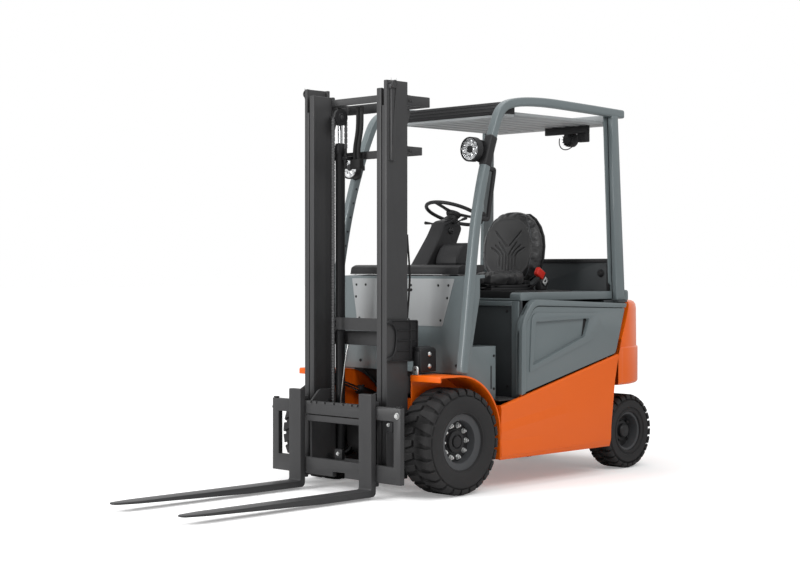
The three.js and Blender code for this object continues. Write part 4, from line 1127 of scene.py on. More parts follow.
def work_lamp(name, radius, middle, towards, fins=0):
    """A round lamp with its face at the middle. Returns the housing and its bright parts."""
    shell = turned(
        name + "_shell",
        [
            (radius * 0.9, -0.002), (radius * 0.9, 0.0), (radius, 0.0), (radius, -0.04),
            (radius * 0.93, -0.046), (radius * 0.62, -0.05), (radius * 0.6, -0.056), (0, -0.0575),
            (0, -0.01), (radius * 0.86, -0.01),
        ],
        steps=56,
    )
    parts = [smoothed(shell, 35)]
    for k in range(fins):
        a = math.tau * k / fins
        fin = eased(
            block("fin", (-0.057, radius * 0.45, -0.0015), (-0.04, radius * 0.97, 0.0015)), 0.0007, 1,
        )
        fin.data.transform(Matrix.Rotation(a, 4, "X"))
        parts.append(fin)
    dish = [
        (0, -0.0095), (radius * 0.87, -0.0095), (radius * 0.87, -0.003), (radius * 0.8, -0.0045),
        (0, -0.0062),
    ]
    bright = [smoothed(turned(name + "_dish", dish, steps=48))]
    cup = turned(
        name + "_cup",
        [
            (0, -0.0065), (radius * 0.17, -0.0065), (radius * 0.185, -0.001), (radius * 0.15, -0.0015),
            (0, -0.005),
        ],
        (0, 0, radius * 0.58), 20,
    )
    bright.append(ring_of(smoothed(cup), name + "_cups", 8, (0, 0, 0)))
    centre = turned(
        name + "_centre", [(0, -0.0065), (radius * 0.3, -0.0065), (radius * 0.28, -0.001), (0, -0.0002)],
        steps=28,
    )
    parts.append(smoothed(centre))
    place = Matrix.Translation(Vector(middle)) @ Vector((1, 0, 0)).rotation_difference(
        Vector(towards)
    ).to_matrix().to_4x4()
    housing, lights = joined(name, parts), joined(name + "_bright", bright)
    for piece in (housing, lights):
        piece.data.transform(place)
    return housing, lights


for side, x, y, z in (("left", 0.466, 0.174, 1.896), ("right", -0.47, 0.13, 1.835)):
    sign = 1 if side == "left" else -1
    housing, lights = work_lamp(f"headlight_{side}_case", 0.069, (x, y + 0.0005, z), (0, -1, 0))
    arm = eased(
        block("lamp_arm", (min(x - 0.012 * sign, sign * guard_inner(z)), y + 0.05, z - 0.014),
              (max(x - 0.012 * sign, sign * guard_inner(z)), y + 0.122, z + 0.014)), 0.003)
    hood_line = rounded(
        [
            (y + 0.012, z - 0.045), (y + 0.012, z + 0.062, 0.02), (y + 0.118, z + 0.05, 0.02),
            (y + 0.118, z - 0.06, 0.02), (y + 0.06, z - 0.075, 0.02),
        ]
    )
    low, high = sorted((sign * (abs(x) + 0.012), sign * guard_inner(z)))
    cover = eased(plate("lamp_cover", hood_line, "X", low, high), 0.004, 2)
    fitted(
        joined(f"headlight_{side}_case", [housing, arm, cover]), lamp_black, "truck", "lamp_shell",
        f"headlight_{side}",
    )
    fitted(lights, reflector, "truck", "bright_rod")
curve = [p for p in spline(FRONT_POST, 10) if 1.795 <= p.y <= 1.985]
sleeve_line = band([tuple(curve[0]), tuple(curve[len(curve) // 2]), tuple(curve[-1])], 0.058, 6)
sleeve = leaned(eased(plate("lamp_sleeve", sleeve_line, "X", 0.523, 0.5795), 0.014, 4, 50))
fitted(sleeve, lamp_black, "truck", "lamp_shell")

rear_middle = Vector((0.23, 1.312, 2.03))
housing, lights = work_lamp("rear_lamp_case", 0.0455, rear_middle + Vector((0, 0.056, 0)), (0, 1, 0), 14)
bracket = eased(block("rear_lamp_bar", (0.06, 1.3, 2.06), (0.4, 1.322, 2.1077)), 0.003)
strap = eased(block("rear_lamp_strap", (0.215, 1.302, 2.04), (0.245, 1.318, 2.075)), 0.002)
box = eased(block("buzzer", (0.318, 1.296, 2.006), (0.392, 1.334, 2.062)), 0.006, 3)
grille = [
    eased(
        block("buzzer_rib", (0.326, 1.293, 2.014 + k * 0.009), (0.384, 1.2975, 2.018 + k * 0.009)), 0.001,
        1,
    )
    for k in range(5)
]


def hose(name, points, radius, sides=4):
    """A bent tube along a smooth line through places."""
    line = bpy.data.curves.new(name, "CURVE")
    line.dimensions = "3D"
    line.bevel_depth = radius
    line.bevel_resolution = sides
    line.resolution_u = 6
    line.use_fill_caps = True
    strand = line.splines.new("NURBS")
    strand.points.add(len(points) - 1)
    for knot, place in zip(strand.points, points):
        knot.co = (*place, 1)
    strand.use_endpoint_u = True
    strand.order_u = 4
    piece = bpy.data.objects.new(name, line)
    scene.collection.objects.link(piece)
    only(piece)
    bpy.ops.object.convert(target="MESH")
    piece = bpy.context.object
    piece.name = piece.data.name = name
    return smoothed(tidied(piece), 60)


cable = hose(
    "rear_lamp_cable",
    [
        (0.23, 1.24, 2.03), (0.235, 1.225, 2.0), (0.25, 1.225, 1.965), (0.285, 1.24, 1.955),
        (0.315, 1.26, 1.975), (0.33, 1.285, 2.01), (0.34, 1.3, 2.03),
    ],
    0.0032,
)
fitted(
    joined("rear_lamp_case", [housing, bracket, strap, box, *grille, cable]), lamp_black, "truck",
    "black_plastic", "rear_lamp",
)
fitted(lights, reflector, "truck", "bright_rod")

GRIP_X = 0.525
grip = hose(
    "grab_bar",
    [
        (GRIP_X, 0.18, 1.5115), (GRIP_X, 0.22, 1.5105), (GRIP_X, 0.25, 1.5085), (GRIP_X, 0.261, 1.509),
        (GRIP_X, 0.265, 1.525), (GRIP_X, 0.275, 1.59), (GRIP_X, 0.288, 1.65), (GRIP_X, 0.302, 1.72),
        (GRIP_X, 0.313, 1.775), (GRIP_X, 0.312, 1.788), (GRIP_X, 0.3, 1.787), (GRIP_X, 0.284, 1.788),
        (GRIP_X, 0.256, 1.788),
    ],
    0.0132, 6,
)
fitted(grip, moulded_black, "truck", "black_plastic", "grab_handle")
holes = []
for k in range(7):
    z = 1.2 + k * 0.085
    place = spline(FRONT_POST, 30)
    y = min(place, key=lambda p: abs(p.y - z)).x
    plug = turned(
        "post_plug", [(0, 0), (0.0065, 0), (0.0065, 0.001), (0.0045, 0.0022), (0, 0.0024)],
        (guard_inner(z), y, z), 14, (-1, 0, 0),
    )
    holes += [smoothed(plug), copied(plug, "post_plug", LEFT_RIGHT)]
fitted(joined("post_plugs", holes), lamp_black, "truck", "lamp_shell")

# ---- Hood ----
# A pressed lid over the battery, hinged at its rear edge, with rounded shoulders and a raised deck for the
# seat. The panel below it closes the footwell, and carries the latch.

fitted(
    softened("seat_front_panel", "seat_front_sheet", 0.002), deck_grey, "truck", "panel_dark",
    "seat_front_panel",
)
latch_parts = [
    eased(block("latch_plate", (-0.06, 0.5245, 0.955), (0.06, 0.5305, 1.02)), 0.004, 3),
    eased(block("latch_lever", (-0.018, 0.5165, 0.965), (0.018, 0.5265, 1.005)), 0.003, 3),
]
for x in (-0.43, 0.43):
    for z in (0.56, 0.99):
        latch_parts.append(bolt("panel_bolt", (x, 0.53, z), (0, -1, 0), 0.007))
fitted(joined("hood_latch", latch_parts), satin_black, "truck", "black_plastic")
edges = [eased(block("panel_edge", (0.47, 0.5215, 0.501), (0.526, 0.5298, 1.048)), 0.004, 3)]
edges.append(copied(edges[0], "panel_edge_right", LEFT_RIGHT))
edges.append(eased(block("panel_top", (-0.47, 0.5215, 1.02), (0.47, 0.5298, 1.048)), 0.004, 3))
fitted(joined("panel_edges", edges), grey_paint, "truck", "body_grey")
lid_line = [(0.5305, 1.051), (0.5305, 1.0975, 0.026), (1.3745, 1.0975, 0.01), (1.3745, 1.051)]
lid = plate("hood_lid", rounded(lid_line, 6), "X", -0.5315, 0.5315)
hollow = block("hood_hollow", (-0.5, 0.56, 1.04), (0.5, 1.345, 1.056))
step = block("hood_step", (-0.44, 0.5, 1.062), (0.45, 0.64, 1.11))
carved(lid, hollow, step)
eased(lid, 0.018, 5, 40)
fitted(lid, grey_paint, "hood", "body_grey", "battery_hood")
mat = eased(block("seat_deck", (-0.4, 0.6, 1.06), (0.43, 1.12, 1.1035)), 0.004, 2)
ribs = [
    eased(
        block("deck_rib", (-0.385, 0.61 + k * 0.0125, 1.103), (0.415, 0.615 + k * 0.0125, 1.1055)), 0.001,
        1,
    )
    for k in range(40)
]
fitted(joined("seat_deck", [mat, *ribs]), moulded_black, "hood", "black_plastic")

# ---- Seat ----
# A suspension seat on two slide rails: a contoured foam cushion and an egg-shaped back, each in black
# vinyl over foam with sewn channels and a piped edge, and a belt with a red buckle.

seat_steel = finish("seat_steel", (0.02, 0.02, 0.021), (0.028, 0.028, 0.029), (0.35, 0.5), 10, 500, 0.1)
rails = []
for sign in (-1, 1):
    low, high = sorted((sign * 0.15, sign * 0.196))
    rails.append(eased(block("slide_lower", (low, 0.655, 1.105), (high, 1.04, 1.118)), 0.002))
    low, high = sorted((sign * 0.156, sign * 0.19))
    rails.append(eased(block("slide_upper", (low, 0.66, 1.119), (high, 1.044, 1.1385)), 0.003))
for y in (0.69, 0.985):
    rails.append(eased(block("slide_bridge", (-0.19, y, 1.12), (0.19, y + 0.03, 1.136)), 0.003))
bar_points = [
    (-0.15, 0.66, 1.122), (-0.15, 0.628, 1.118), (-0.1, 0.618, 1.116), (0.1, 0.618, 1.116),
    (0.15, 0.628, 1.118), (0.15, 0.66, 1.122),
]
rails.append(hose("slide_handle", bar_points, 0.006))
fitted(joined("seat_slides", rails), seat_steel, "hood", "black_plastic", "seat_base")

vinyl = bpy.data.materials.new("seat_vinyl")
vinyl.use_nodes = True
tree = vinyl.node_tree
shader = tree.nodes["Principled BSDF"]
shader.inputs["Specular IOR Level"].default_value = 0.45
shader.inputs["Sheen Weight"].default_value = 0.08
shader.inputs["Sheen Roughness"].default_value = 0.5
place = added(tree, "TexCoord")
patches = added(tree, "TexNoise", {"Scale": 4, "Detail": 5})
tint = added(tree, "Mix", data_type="RGBA")
tint.inputs[6].default_value = (0.012, 0.012, 0.0125, 1)
tint.inputs[7].default_value = (0.021, 0.021, 0.022, 1)
grain = added(tree, "TexVoronoi", {"Scale": 620, "Randomness": 0.9})
fine = added(tree, "TexNoise", {"Scale": 90, "Detail": 5})
level = added(tree, "MapRange", {"To Min": 0.36, "To Max": 0.56})
relief = added(tree, "Bump", {"Strength": 0.3, "Distance": 0.0006})
for texture in (patches, grain, fine):
    wired(tree, (place.outputs["Object"], texture.inputs["Vector"]))
wired(
    tree, (patches.outputs["Fac"], tint.inputs["Factor"]), (tint.outputs[2], shader.inputs["Base Color"]),
    (fine.outputs["Fac"], level.inputs["Value"]), (level.outputs["Result"], shader.inputs["Roughness"]),
    (grain.outputs["Distance"], relief.inputs["Height"]),
    (relief.outputs["Normal"], shader.inputs["Normal"]),
)


def stuffed(piece, voxel, pressure, cap):
    """Fills the form like foam under its cover: remeshed, blown up a little by a cloth
    simulation, with no point moved further than the cap."""
    applied(piece, "REMESH", mode="VOXEL", voxel_size=voxel)
    start = [vertex.co.copy() for vertex in piece.data.vertices]
    only(piece)
    cover = piece.modifiers.new("cover", "CLOTH")
    cover.settings.quality = 5
    cover.settings.mass = 0.4
    cover.settings.tension_stiffness = 18
    cover.settings.compression_stiffness = 18
    cover.settings.shear_stiffness = 8
    cover.settings.bending_stiffness = 1.2
    cover.settings.use_pressure = True
    cover.settings.uniform_pressure_force = pressure
    cover.settings.effector_weights.gravity = 0
    cover.collision_settings.use_self_collision = False
    for step in range(1, 21):
        scene.frame_set(step)
    only(piece)
    bpy.ops.object.modifier_apply(modifier="cover")
    scene.frame_set(1)
    for vertex, home in zip(piece.data.vertices, start):
        moved = vertex.co - home
        if moved.length > cap:
            vertex.co = home + moved.normalized() * cap
    applied(piece, "SMOOTH", factor=0.5, iterations=4)
    applied(piece, "SUBSURF", levels=1, render_levels=1)
    return piece


def from_line(x, z, line):
    """How far a point is from a bent line."""
    point = Vector((x, z))
    nearest = 1.0
    for a, b in zip(line, line[1:]):
        a, b = Vector(a), Vector(b)
        along = b - a
        share = max(0.0, min(1.0, (point - a).dot(along) / along.length_squared))
        nearest = min(nearest, (point - a - along * share).length)
    return nearest


def sewn(piece, channels, across, deep, wide, facing):
    """Presses sewn channels into the side that faces a direction. Each is a line of two
    coordinates."""
    facing = Vector(facing)
    normals = [vertex.normal.copy() for vertex in piece.data.vertices]
    for vertex, normal in zip(piece.data.vertices, normals):
        share = normal.dot(facing)
        if share < 0.35:
            continue
        a, b = vertex.co[across[0]], vertex.co[across[1]]
        near = min(from_line(a, b, line) for line in channels)
        if near < wide * 3:
            vertex.co -= normal * deep * math.exp(-((near / wide) ** 2))


# The back: its half width at each height, narrow at the top and at the foot.
BACK_WIDTH = [
    (1.15, 0.12), (1.185, 0.172), (1.235, 0.212), (1.3, 0.229), (1.37, 0.232), (1.43, 0.222), (1.49, 0.194),
    (1.54, 0.15), (1.57, 0.1), (1.583, 0.05),
]


def back_front(z):
    """The Y of the back's front face at a height."""
    return 1.004 + (z - 1.15) * 0.085


outline = [(w, z) for z, w in BACK_WIDTH] + [(-w, z) for z, w in reversed(BACK_WIDTH)]
back = plate("seat_back", outline, "Y", 0.0, 1.0)
for vertex in back.data.vertices:
    front = vertex.co.y < 0.5
    x, z = vertex.co.x, vertex.co.z
    vertex.co.y = back_front(z) + (0.004 if front else 0.078)
editing(back, "FACE")
bpy.ops.mesh.select_all(action="DESELECT")
bpy.ops.object.mode_set(mode="OBJECT")
for face in back.data.polygons:
    face.select = face.normal.y < -0.8
only(back)
bpy.ops.object.mode_set(mode="EDIT")
bpy.ops.mesh.inset(thickness=0.052, depth=0.0)
bpy.ops.transform.translate(value=(0, 0.016, 0))
bpy.ops.object.mode_set(mode="OBJECT")
eased(back, 0.014, 4, 40)
stuffed(back, 0.0058, 4.0, 0.022)
limits = [Vector(corner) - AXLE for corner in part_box("seat_backrest")]
for vertex in back.data.vertices:
    vertex.co.y = max(vertex.co.y, limits[0].y - 0.012)
CHANNELS = []
for sign in (-1, 1):
    for k in range(3):
        out = 0.018 + k * 0.026
        lift = 0.052 + k * 0.006
        CHANNELS.append(
            [
                (sign * (out - 0.006), 1.205 + k * 0.022), (sign * (out - 0.006), 1.318 - k * 0.004),
                (sign * (out + 0.012), 1.346 - k * 0.006), (sign * (out + lift), 1.392 - k * 0.016),
            ]
        )
    CHANNELS.append([(sign * 0.012, 1.372), (sign * 0.104, 1.462)])
    CHANNELS.append([(sign * w * 0.8, z) for z, w in BACK_WIDTH[1:-1]])
sewn(back, CHANNELS, (0, 2), 0.0055, 0.0042, (0, -1, 0))
smoothed(back, 60)
padded_back = fitted(back, vinyl, "hood", "seat_vinyl", "seat_backrest")

shell_outline = [(w * 1.01, z) for z, w in BACK_WIDTH[:-1]] + [
    (-w * 1.01, z)
    for z, w in reversed(BACK_WIDTH[:-1])
]
shell = plate("seat_back_shell", shell_outline, "Y", 0.0, 1.0)
for vertex in shell.data.vertices:
    vertex.co.y = back_front(vertex.co.z) + (0.07 if vertex.co.y < 0.5 else 0.084)
eased(shell, 0.006, 3, 40)
post = eased(block("back_hinge", (-0.15, 1.01, 1.12), (0.15, 1.06, 1.165)), 0.008, 3)
fitted(joined("seat_back_shell", [shell, post]), moulded_black, "hood", "black_plastic")

# The cushion: higher at the sides and the front, with a dip for the driver.
nothing_selected()
bpy.ops.mesh.primitive_cube_add(size=1)
cushion = settled("seat_cushion_pad")
editing(cushion)
bpy.ops.mesh.subdivide(number_cuts=15)
bpy.ops.object.mode_set(mode="OBJECT")
for vertex in cushion.data.vertices:
    x, y, z = vertex.co * 2
    taper = 1 - 0.1 * max(y, 0) ** 2
    corner = 1 - 0.07 * (abs(x) ** 6) * (abs(y) ** 6)
    px = 0.222 * x * taper * corner
    py = 0.797 + 0.173 * y * corner
    top = 1.198 + 0.014 * abs(x) ** 2.4 - 0.01 * (1 - abs(x) ** 2) * (1 - y * y) - 0.02 * max(-y - 0.55, 0)
    pz = 1.147 if z < -0.99 else 1.147 + (top - 1.147) * (z + 1) / 2
    vertex.co = (px, py, pz)
eased(cushion, 0.01, 3, 50)
stuffed(cushion, 0.0056, 4.0, 0.016)
SEAT_CHANNELS = [
    [(-0.15, 0.64), (-0.14, 0.95)], [(0.15, 0.64), (0.14, 0.95)],
    *[[(-0.14, y), (0.14, y)] for y in (0.7, 0.76, 0.82, 0.88)],
]
sewn(cushion, SEAT_CHANNELS, (0, 1), 0.0045, 0.0042, (0, 0, 1))
floor_z = 1.1405
for vertex in cushion.data.vertices:
    vertex.co.z = max(vertex.co.z, floor_z)
smoothed(cushion, 60)
fitted(cushion, vinyl, "hood", "seat_vinyl", "seat_cushion")


def surface_point(piece, origin, towards):
    """Where a line first meets the piece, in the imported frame."""
    hit, place, _, _ = piece.ray_cast(Vector(origin) + AXLE, Vector(towards))
    return place - AXLE if hit else None


loop = []
for z, w in spline(BACK_WIDTH[1:], 4):
    place = surface_point(back, (w * 0.8, 0.5, z), (0, 1, 0))
    if place:
        loop.append(place + Vector((0.004, -0.0005, 0)))
far_loop = [Vector((-p.x, p.y, p.z)) for p in loop]
piping = [hose("back_piping", loop, 0.0024, 3), hose("back_piping_far", far_loop, 0.0024, 3)]
fitted(joined("seat_piping", piping), cell_grey, "hood", "seat_vinyl")

# The belt: its buckle on a stalk beside the cushion, and its tongue on a strap from the reel.
belt_red = finish("belt_red", (0.52, 0.022, 0.012), (0.44, 0.018, 0.01), (0.3, 0.42), 30, 500, 0.1)
turn = Matrix.Translation((0.262, 1.015, 1.205)) @ Matrix.Rotation(math.radians(-32), 4, "X")
buckle = eased(block("buckle", (-0.014, -0.034, -0.026), (0.014, 0.034, 0.026)), 0.007, 4)
button = eased(block("buckle_button", (-0.01, -0.0385, -0.018), (0.01, -0.03, 0.018)), 0.003, 3)
buckle = joined("belt_buckle", [buckle, button])
buckle.data.transform(turn)
fitted(buckle, belt_red, "hood", "black_plastic")
tongue_line = rounded(
    [(-0.018, -0.03, 0.006), (0.018, -0.03, 0.006), (0.018, 0.016, 0.008), (-0.018, 0.016, 0.008)]
)
tongue = plate("belt_tongue", tongue_line, "X", -0.0016, 0.0016)
slot = bar("tongue_hole", (-0.02, 0, -0.006), (0.02, 0, -0.006), 0.0075, 24)
carved(tongue, slot)
eased(tongue, 0.0006, 2)
tongue.data.transform(Matrix.Translation((0.264, 1.07, 1.163)) @ Matrix.Rotation(math.radians(-40), 4, "X"))
fitted(tongue, zinc, "hood", "bright_rod")
stalk = hose(
    "belt_stalk", [(0.215, 0.985, 1.12), (0.245, 0.992, 1.135), (0.258, 1.0, 1.16), (0.262, 1.008, 1.185)],
    0.008,
)
strap_path = [(0.264, 1.078, 1.15), (0.262, 1.088, 1.138), (0.25, 1.085, 1.118), (0.225, 1.07, 1.112)]
reel = eased(block("belt_reel", (0.205, 1.035, 1.105), (0.255, 1.095, 1.165)), 0.008, 3)
fitted(
    joined("belt_mount", [stalk, hose("belt_strap", strap_path, 0.006), reel]), seat_steel, "hood",
    "black_plastic",
)

# ---- Armrest ----
# A padded rest on a post at the driver's right, with three finger levers that have moulded caps.

rest = eased(block("arm_pad", (-0.359, 0.735, 1.262), (-0.291, 1.039, 1.2995)), 0.014, 5)
console = eased(block("lever_console", (-0.359, 0.681, 1.2605), (-0.291, 0.745, 1.286)), 0.006, 3)
arm_post = eased(
    plate("arm_post", [(0.842, 1.105), (0.918, 1.105), (0.905, 1.264), (0.855, 1.264)], "X", -0.344, -0.306),
    0.006, 3,
)
arm_foot = eased(block("arm_foot", (-0.358, 0.826, 1.105), (-0.292, 0.934, 1.115)), 0.003)
levers, caps = [], []
for x in (-0.348, -0.325, -0.302):
    root, tip = Vector((x, 0.712, 1.28)), Vector((x, 0.7025, 1.333))
    levers.append(bar("lever", root, tip, 0.0028, 12))
    boot = bar("lever_boot", root, root + (tip - root) * 0.25, 0.0085, 16, 0.004)
    caps.append(smoothed(boot))
    cap = turned(
        "lever_cap",
        [(0, -0.012), (0.0045, -0.012), (0.0075, -0.004), (0.0085, 0.006), (0.0065, 0.012), (0, 0.0135)],
        tip, 20, tip - root,
    )
    caps.append(smoothed(cap, 50))
fitted(
    joined("arm_rest", [rest, console, arm_post, arm_foot, *caps]), moulded_black, "hood", "black_plastic",
    "armrest",
)
fitted(joined("arm_levers", levers), zinc, "hood", "bright_rod")

# ---- Doors ----
# Moulded doors over the battery's sides. A thick rounded rim runs up the front and along the top, and the
# inner panel steps down to a slanting recess; a thin black plate at its rear end is painted shade for a hand
# slot.

DOOR_LINE = [
    (0.487, 0.519, 0.01), (0.491, 0.93, 0.045), (0.59, 1.059, 0.045), (1.459, 1.0232, 0.01),
    (1.3605, 0.7215, 0.02),
]
PANEL_LINE = [
    (0.53, 0.535, 0.008), (0.532, 0.918, 0.035), (0.61, 1.017, 0.035), (1.444, 0.993, 0.01),
    (1.356, 0.726, 0.018),
]
RIM_LINE = [
    (0.487, 0.519, 0.01), (0.491, 0.93, 0.05), (0.59, 1.059, 0.05), (1.459, 1.0232, 0.008),
    (1.449, 0.9975, 0.004), (0.606, 1.0235, 0.035), (0.5255, 0.921, 0.035), (0.5235, 0.5285, 0.004),
]
backing = eased(plate("door_backing", rounded(DOOR_LINE, 6), "X", 0.5405, 0.56), 0.003, 2)
rim = eased(plate("door_rim", rounded(RIM_LINE, 6), "X", 0.5345, 0.5798), 0.012, 4, 50)
panel = plate("door_panel", rounded(PANEL_LINE, 6), "X", 0.555, 0.5725)
FRAME_LINE = [
    (0.556, 0.644, 0.014), (0.574, 0.956, 0.02), (0.605, 0.983, 0.02), (1.19, 0.97, 0.03),
    (1.188, 0.864, 0.03), (1.122, 0.812, 0.04),
]
RECESS = [(0.582, 0.676, 0.01), (0.608, 0.933, 0.012), (1.1, 0.944, 0.014), (1.056, 0.833, 0.014)]
# Outline of a thin black plate laid on the recess floor at its rear end: painted shade for the hand slot.
GRIP_SHADE_LINE = [(1.042, 0.834, 0.006), (1.062, 0.939, 0.006), (1.095, 0.94, 0.01), (1.056, 0.84, 0.01)]
surround = plate("door_surround", rounded(FRAME_LINE, 6), "X", 0.5605, 0.5792)
applied(panel, "BOOLEAN", operation="UNION", object=surround)
bpy.data.objects.remove(surround)
cutter = plate("door_recess", rounded(RECESS, 6), "X", 0.554, 0.59)
centre = Vector((0, 0.84, 0.86))
for vertex in cutter.data.vertices:
    if vertex.co.x < 0.57:
        offset = vertex.co - centre
        vertex.co.y = centre.y + offset.y * 0.955
        vertex.co.z = centre.z + offset.z * 0.91
carved(panel, cutter)
eased(panel, 0.003, 3, 24)
grip_shade_patch = eased(plate("door_grip", rounded(GRIP_SHADE_LINE), "X", 0.559, 0.5612), 0.0008, 1)
door = joined("door", [backing, rim, panel])
for side, place in SIDES.items():
    body = f"door_{side}"
    fitted(copied(door, body + "_moulding", place), grey_paint, body, "body_grey", body)
    fitted(copied(grip_shade_patch, body + "_grip", place), rubber_black, body, "black_plastic")
for piece in (door, grip_shade_patch):
    bpy.data.objects.remove(piece)

# ---- Mast ----
# Two stages of rolled steel channels in satin black, tied by welded bows and plates. The outer stage
# stands on the drive axle; the inner runs on rollers inside it, pushed up by two rams with chromed rods.

mast_black = finish("mast_paint", (0.036, 0.036, 0.037), (0.046, 0.046, 0.047), (0.34, 0.46), 5, 420, 0.1)
chrome = finish(
    "hard_chrome", (0.72, 0.73, 0.74), (0.6, 0.61, 0.62), (0.08, 0.16), 12, 900, 0.03, metallic=1.0,
)
oiled_steel = finish("oiled_steel", (0.11, 0.11, 0.112), (0.08, 0.08, 0.082), (0.32, 0.5), 60, 700, 0.15)
MAST_REAR = -0.176
WEB_OUTSIDE = 0.334

strips = []
for sign in (-1, 1):
    for y in (-0.323, -0.286):
        low, high = sorted((sign * 0.3342, sign * 0.36))
        strips.append(block("rail_side", (low, y, 1.8), (high, y + 0.009, 2.202)))
outer = softened("outer_mast", "outer_mast_frame", 0.0035, 3, joined("rail_sides", strips))
fitted(outer, mast_black, "outer_mast", "mast_black", "outer_mast")
trims = []
for z in (0.84, 1.878, 2.15):
    for y in (-0.165, -0.15) if z > 0.9 else (-0.16, -0.125):
        trims.append(bolt("tie_bolt", (WEB_OUTSIDE + 0.0022, y, z), (1, 0, 0), 0.0075))
for z in (0.33, 0.25):
    trims.append(bolt("foot_bolt", (WEB_OUTSIDE + 0.0002, -0.12, z), (1, 0, 0), 0.01))
ring = turned(
    "foot_cap", [(0.062, 0.0), (0.088, 0.0), (0.09, 0.003), (0.088, 0.008), (0.064, 0.009), (0.062, 0.006)],
    (WEB_OUTSIDE + 0.0005, 0, 0.292), 48,
)
boss = turned(
    "rail_boss",
    [
        (0, 0.0), (0.0215, 0.0), (0.0225, 0.003), (0.021, 0.0055), (0.0135, 0.0065), (0.012, 0.004),
        (0, 0.004),
    ],
    (0.3602, -0.3, 2.227), 32,
)
trims += [smoothed(ring, 40), smoothed(boss, 40)]
HANDLE = [
    (-0.335, 0.939, 0.006), (-0.3, 0.934, 0.012), (-0.268, 0.896, 0.03), (-0.28, 0.784, 0.03),
    (-0.306, 0.756, 0.012), (-0.335, 0.752, 0.006), (-0.335, 0.734, 0.008), (-0.1135, 0.732, 0.008),
    (-0.1135, 0.949, 0.008), (-0.335, 0.955, 0.008),
]
handle = [eased(plate("mast_handle", rounded(HANDLE, 4), "X", WEB_OUTSIDE + 0.0003, 0.343), 0.002)]
rim_line = [(y, z) for y, z in rounded(HANDLE, 4)]
lip = [(0.3465, y, z) for y, z in rim_line + rim_line[:1]]
for a, b in zip(lip, lip[1:]):
    handle.append(bar("handle_lip", a, b, 0.0042, 8))
for z in (0.785, 0.84, 0.895):
    handle.append(eased(block("handle_rib", (0.3425, -0.262, z), (0.3485, -0.12, z + 0.007)), 0.0015, 1))
handle.append(eased(block("handle_spine", (0.3425, -0.168, 0.74), (0.349, -0.16, 0.944)), 0.0015, 1))
for z in (0.947, 0.743):
    knob = turned(
        "handle_knob",
        [(0, 0), (0.0115, 0), (0.0125, 0.003), (0.0115, 0.008), (0.005, 0.0105), (0, 0.0105)],
        (0.3428, -0.324, z), 24,
    )
    handle.append(smoothed(knob, 40))
handle = joined("mast_handle", handle)
fitted(handle, moulded_black, "outer_mast", "black_plastic")
trims = joined("mast_trims", trims)
fitted(
    joined("mast_trims", [copied(trims, "mast_trims_right", LEFT_RIGHT), trims]), mast_black, "outer_mast",
    "mast_black",
)

# Two hoses loop from the top tie to a union block on the second, and a cable is clipped down the rear of
# the left channel. A steel pipe runs slanting up from the right ram.
lines = []
for x in (-0.146, -0.116):
    loop = [
        (x, -0.098, 2.13), (x + 0.008, -0.104, 2.08), (x + 0.014, -0.112, 2.01), (x - 0.002, -0.118, 1.94),
        (x - 0.01, -0.116, 1.88), (x - 0.006, -0.112, 1.85),
    ]
    lines.append(hose("mast_hose", loop, 0.0115))
    lines.append(bar("hose_union", loop[0], (x, -0.096, 2.155), 0.014, 6))
lines.append(eased(block("union_block", (-0.178, -0.133, 1.8), (-0.096, -0.098, 1.856)), 0.006, 3))
cable = [
    (0.318, -0.164, 1.42), (0.32, -0.156, 1.3), (0.324, -0.142, 1.2), (0.322, -0.156, 1.08),
    (0.318, -0.164, 0.96),
]
lines.append(hose("mast_cable", cable, 0.0055))
lines.append(eased(block("cable_clip", (0.31, -0.176, 1.11), (0.33, -0.135, 1.126)), 0.003))
fitted(joined("mast_hoses", lines), rubber_black, "outer_mast", "black_plastic")
pipe = hose(
    "ram_pipe",
    [
        (-0.221, -0.166, 0.44), (-0.2205, -0.166, 0.48), (-0.2, -0.159, 0.62), (-0.182, -0.156, 0.766),
        (-0.18, -0.14, 0.8),
    ],
    0.0045,
)
fitted(pipe, zinc, "outer_mast", "bright_rod")
cover = [
    (-0.129, 2.108, 0.006), (-0.12, 2.09, 0.01), (-0.165, 1.96, 0.02), (-0.15, 1.9), (-0.15, 1.835, 0.006),
]
cover += [(-0.171, 1.835, 0.006), (-0.171, 2.108, 0.006)]
shroud = eased(plate("mast_shroud", rounded(cover, 5), "X", 0.292, 0.3), 0.002)
fitted(
    joined("mast_shroud", [copied(shroud, "mast_shroud_right", LEFT_RIGHT), shroud]), mast_black,
    "outer_mast", "mast_black",
)

# The chains' anchors hang from the second tie, each with an eye bolt and a lock nut.
anchors = []
for sign in (-1, 1):
    x = sign * 0.185
    low, high = sorted((x - 0.02, x + 0.02))
    anchors.append(eased(block("anchor_block", (low, -0.168, 1.852), (high, -0.108, 1.872)), 0.004))
    anchors.append(bar("anchor_bolt", (x, -0.156, 1.8), (x, -0.156, 1.915), 0.007, 16))
    for z in (1.838, 1.873):
        anchors.append(bar("anchor_nut", (x, -0.156, z), (x, -0.156, z + 0.012), 0.013, 6))
    low, high = sorted((x - sign * 0.018, x + sign * 0.13))
    anchors.append(eased(block("anchor_arm", (low, -0.13, 1.856), (high, -0.112, 1.868)), 0.003))
fitted(joined("chain_anchors", anchors), satin_black, "outer_mast", "mast_black")

